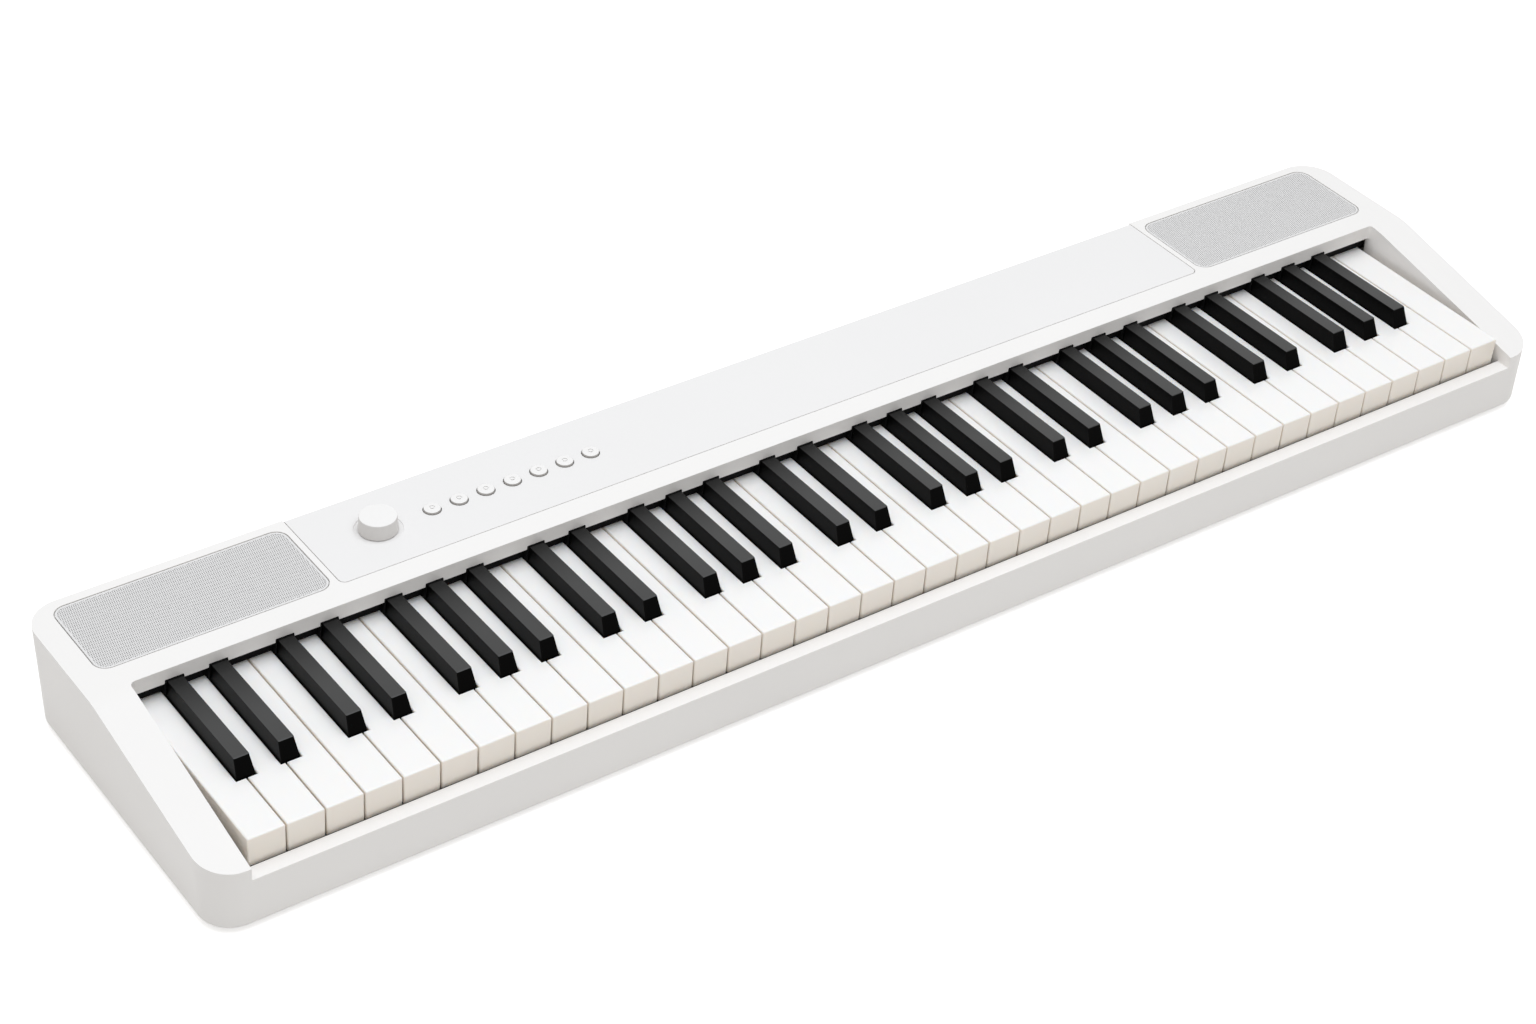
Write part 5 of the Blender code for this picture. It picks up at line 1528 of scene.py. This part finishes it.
@dataclass
class RearSockets(Assembly):
    """What the rear wall shows: a bezel round each socket, and the bores that they stand in."""

    nose_radius: float = 0.0048
    nose_clearance: float = 0.0004
    bore_radius: float = 0.0033
    bore_reach: float = 0.01
    bore_inset: float = 0.002
    height: float = 0.0281
    pitch: float = 0.032
    data_place: float = 0.027
    data_height: float = 0.0231
    data_half: Pair = (0.0049, 0.0021)
    data_depth: float = 0.012
    ring_gap: float = 0.0002
    ring_height: float = 0.0006
    ring_round: float = 0.0003

    def places(self) -> list[float]:
        """Places of the round sockets along X, about the main board's middle."""
        middle = Box("main_board").middle[0]
        return [middle + self.pitch * step for step in (-1, 0, 1)]

    def cutters(self, face: float, past: float) -> Iterator[Obj]:
        """The bores for the sockets in the rear wall.

        Args:
            face: Where the rear wall's outside lies.
            past: How far a bore runs out of it.

        Returns:
            The cutters.
        """
        radius, reach = self.nose_radius + self.nose_clearance, self.bore_reach
        profile = [(0, -reach), (radius, -reach), (radius, reach), (0, reach)]
        for place in self.places():
            centre = Vector((place, face - self.bore_inset, self.height))
            yield lathe("socket_bore", profile, centre, 32, REAR)
        x = (self.data_place - self.data_half[0], self.data_place + self.data_half[0])
        z = (self.data_height - self.data_half[1], self.data_height + self.data_half[1])
        yield block("data_bore", x, (face - self.data_depth, face + past), z)

    def build(self, palette: Palette) -> Iterator[Obj]:
        """Builds a metal bezel ring in each round socket's mouth.

        Args:
            palette: The finishes.

        Returns:
            The finished pieces.
        """
        inner, outer = self.bore_radius + self.ring_gap, self.nose_radius - self.ring_gap
        low, high = -self.ring_gap, self.ring_height
        profile = [(inner, low), (outer, low)]
        profile += rounded((outer, high), (outer, low), (inner, high), self.ring_round, 3)
        profile += rounded((inner, high), (outer, high), (inner, low), self.ring_round, 3)
        profile += [(inner, low)]
        face = Box("main_board").high.y
        for number, place in enumerate(self.places(), 1):
            ring = lathe(f"socket_ring_{number}", profile, Vector((place, face, self.height)), 40, REAR)
            yield put(shade(ring, 40, weighted=False), palette.steel, CASE_BODY, "steel")


@dataclass
class Underside(Assembly):
    """Screws in the lower case's sinks, and the rubber feet."""

    rear_screws: tuple[float, ...] = (-0.4725, -0.319, 0.060, 0.270, 0.4725)
    screw_inset: float = 0.017
    head_radius: float = 0.0030
    head_height: float = 0.0016
    head_steps: int = 32
    seat: float = 0.0094
    slot_width: float = 0.0008
    sole_round: float = 0.0009
    sole_taper: float = 0.0002
    groove_depth: float = 0.0004
    groove_foot: float = 0.0003

    def screw_points(self) -> bpy.types.Mesh:
        """One point for each case screw, at its seat.

        Returns:
            A mesh of loose points.
        """
        rear, front = CaseShell.half_depth - self.screw_inset, 2 * self.screw_inset - CaseShell.half_depth
        places = [(x, rear, self.seat) for x in self.rear_screws]
        places += [(x, front, self.seat) for x in (self.rear_screws[0], self.rear_screws[-1])]
        mesh = bpy.data.meshes.new("screw_points")
        mesh.from_pydata(places, [], [])
        return mesh

    def screw_group(self, material: Material) -> Group:
        """A pan head with a crossed recess on every point, facing down.

        Args:
            material: The screws' finish.

        Returns:
            The group.
        """
        values = {
            "Head Radius": self.head_radius, "Head Height": self.head_height, "Slot Width": self.slot_width
        }
        group = Group("case_screws", "GeometryNodeTree", "Geometry", values, "Geometry")
        radius, height, width = (group.source[name] for name in values)
        inputs = {"Vertices": self.head_steps, "Radius": radius, "Depth": height}
        head = group.get("GeometryNodeMeshCylinder", inputs, fill_type="NGON")
        length = group.math("MULTIPLY", radius, 1.1)
        half_way = group.get("ShaderNodeCombineXYZ", {"Z": group.math("MULTIPLY", height, -0.5)})
        for x, y, deeper in ((length, width, 1.0), (width, length, 1.1)):
            size = {"X": x, "Y": y, "Z": group.math("MULTIPLY", height, deeper)}
            cube = group.get("GeometryNodeMeshCube", {"Size": group.get("ShaderNodeCombineXYZ", size)})
            slot = group.get("GeometryNodeTransform", {"Geometry": cube, "Translation": half_way})
            inputs = {"Mesh 1": head, "Mesh 2": slot}
            head = group.get("GeometryNodeMeshBoolean", inputs, operation="DIFFERENCE")
        inputs = {"Points": group.source[0], "Instance": head}
        group.finish(group.get("GeometryNodeInstanceOnPoints", inputs), material)
        return group

    def foot(self, node: str) -> Obj:
        """One foot with a ribbed sole.

        Args:
            node: The foot's node.

        Returns:
            The foot, not dressed yet.
        """
        box, wide, narrow = Box(node), self.groove_depth, self.groove_foot
        radius, low, high = box.half[0], box.low.z, box.high.z
        profile = [(0, high), (radius - self.sole_taper, high)]
        profile += rounded((radius, low), (radius, high), (0, low), self.sole_round, 4)
        for edge in (radius * share for share in (0.80, 0.60, 0.40)):
            profile += [(edge + wide, low), (edge + narrow, low + self.groove_depth)]
            profile += [(edge - narrow, low + self.groove_depth), (edge - wide, low)]
        return lathe(node + "_pad", profile + [(0, low)], box.axis, 48)

    def build(self, palette: Palette) -> Iterator[Obj]:
        """Builds the screws and the feet.

        Args:
            palette: The finishes.

        Returns:
            The finished pieces.
        """
        screws = self.screw_group(palette.steel).apply("case_screws", self.screw_points())
        yield put(shade(screws, 35, weighted=False), palette.steel, CASE_BODY, "steel")
        for node in sorted(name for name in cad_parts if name.startswith("foot_")):
            foot = shade(self.foot(node), 35, weighted=False)
            yield put(foot, palette.rubber, CASE_BODY, "foot_rubber", node)


@dataclass
class Insides(Assembly):
    """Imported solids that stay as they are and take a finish: what lies in the case."""

    cone_colour: Colour = (0.02, 0.02, 0.02)
    cone_roughness: float = 0.6

    def cone(self, side: Side) -> Material:
        """The finish of one speaker, with rings as long as its basket.

        Args:
            side: Which speaker.

        Returns:
            The material.
        """
        box = Box("speaker_" + side.value)
        name, stretch = f"speaker_{side.value}_cone", (1.0, box.half[0] / box.half[1])
        return RingFinish(
            name, self.cone_colour, self.cone_roughness, centre=box.middle, stretch=stretch
        ).build()

    def build(self, palette: Palette) -> Iterator[Obj]:
        """Gives each kept node its finish.

        Args:
            palette: The finishes.

        Returns:
            The kept nodes.
        """
        kept = {
            "lower_case": palette.case,
            "key_chassis": palette.chassis,
            "pivot_rod": palette.steel,
            "spring_comb": palette.steel,
            "stop_felt": palette.felt,
            "contact_board": palette.board,
            "panel_board": palette.board,
            "main_board": palette.socket,
            "dome_strip": palette.silicone,
        }
        kept |= {"speaker_" + side.value: self.cone(side) for side in Side}
        for node, material in kept.items():
            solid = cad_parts[node]
            solid.data.materials.clear()
            solid.data.materials.append(material)
            yield solid


@dataclass
class Studio:
    """The floor, the light and the camera that stands where the photograph was taken."""

    image_width: int = 1536
    focal_pixels: float = 3284.6
    sensor: float = 36.0
    azimuth: float = 36.59
    depression: float = 36.43
    roll: float = 3.0
    place: Point = (-1.00495, -1.28035, 1.2232)
    ambient: float = 0.50
    ambient_colour: Colour = (1.0, 0.98, 0.955)
    lamp_place: Point = (-0.10, -0.20, 2.5)
    lamp_size: float = 2.6
    lamp_energy: float = 47
    lamp_colour: Colour = (0.94, 1.0, 1.07)
    floor_half: float = 12
    floor_colour: Colour = (0.80, 0.79, 0.775)
    floor_lift: float = 0.58

    def camera(self) -> None:
        """Sets the camera by its place, direction and roll."""
        data = bpy.data.cameras.new("photo_camera")
        data.sensor_width = self.sensor
        data.lens = self.focal_pixels / self.image_width * data.sensor_width
        data.clip_start = 0.05
        data.clip_end = 50
        obj = link("photo_camera", data)
        azimuth, fall, roll = (math.radians(a) for a in (self.azimuth, self.depression, self.roll))
        level, away = math.cos(fall), -math.sin(fall)
        forward = Vector((math.sin(azimuth) * level, math.cos(azimuth) * level, away))
        aside = forward.cross(UP).normalized()
        right = aside * math.cos(roll) - forward.cross(aside) * math.sin(roll)
        turn = Matrix((right, -forward.cross(right), -forward)).transposed().to_4x4()
        obj.matrix_world = Matrix.Translation(Vector(self.place)) @ turn
        bpy.context.scene.camera = obj

    @staticmethod
    def seen(nodes: Nodes, *more: str) -> Socket:
        """One for rays from the camera and for reflections.

        Args:
            nodes: The tree's builder.
            more: Other rays of the Light Path node that count.

        Returns:
            The number.
        """
        path = nodes.add("ShaderNodeLightPath")
        value = path.outputs["Is Camera Ray"]
        for name in ("Is Glossy Ray", *more):
            value = nodes.math("MAXIMUM", value, path.outputs[name])
        return value

    def world(self) -> None:
        """White to the camera and in reflections, and a plain ambient level for everything else."""
        world = bpy.data.worlds.new("studio_world")
        world.use_nodes = True
        bpy.context.scene.world = world
        nodes = Nodes(world.node_tree)
        seen = self.seen(nodes, "Is Transmission Ray")
        strength = nodes.math("ADD", nodes.math("MULTIPLY", seen, 1 - self.ambient), self.ambient)
        colour = nodes.blend(seen, self.ambient_colour, (1, 1, 1))
        nodes.fill(world.node_tree.nodes["Background"], {"Strength": strength, "Color": colour})

    def lamp(self) -> None:
        """Hangs one soft square lamp that points at the instrument."""
        data = bpy.data.lights.new("overhead_lamp", "AREA")
        data.size = self.lamp_size
        data.energy = self.lamp_energy
        data.color = self.lamp_colour
        place = Vector(self.lamp_place)
        turn = (-place).to_track_quat("-Z", "Y").to_matrix().to_4x4()
        link("overhead_lamp", data).matrix_world = Matrix.Translation(place) @ turn

    def floor(self) -> None:
        """A wide pale floor that stays white to the camera and keeps the shadow."""
        bm = bmesh.new()
        bmesh.ops.create_grid(bm, x_segments=1, y_segments=1, size=self.floor_half)
        floor = from_bmesh("studio_floor", bm)
        material = bpy.data.materials.new("floor_paint")
        material.use_nodes = True
        nodes = Nodes(material.node_tree)
        nodes.fill(material.node_tree.nodes["Principled BSDF"], {
            "Base Color": self.floor_colour,
            "Roughness": 0.9,
            "Specular IOR Level": 0.1,
            "Emission Color": (1, 1, 1),
            "Emission Strength": nodes.math("MULTIPLY", self.seen(nodes), self.floor_lift),
        })
        floor.data.materials.append(material)

    def build(self) -> None:
        """Sets up the studio."""
        self.camera()
        self.world()
        self.lamp()
        self.floor()
        bpy.context.scene.view_settings.view_transform = "Standard"


def write_sizes() -> None:
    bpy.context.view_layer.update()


def main() -> None:
    logging.basicConfig(level=logging.INFO, format="%(name)s: %(message)s")
    palette = Palette()
    assemblies: tuple[Assembly, ...] = (
        CaseShell(), KeyBed(), Grille(Side.LEFT), Grille(Side.RIGHT), ControlPanel(), Controls(),
        RearSockets(), Underside(), Insides(),
    )
    for assembly in assemblies:
        for piece in assembly.build(palette):
            LOG.info("%s: %d faces", piece.name, len(piece.data.polygons))
    Studio().build()
    write_sizes()


if __name__ == "__main__":
    main()
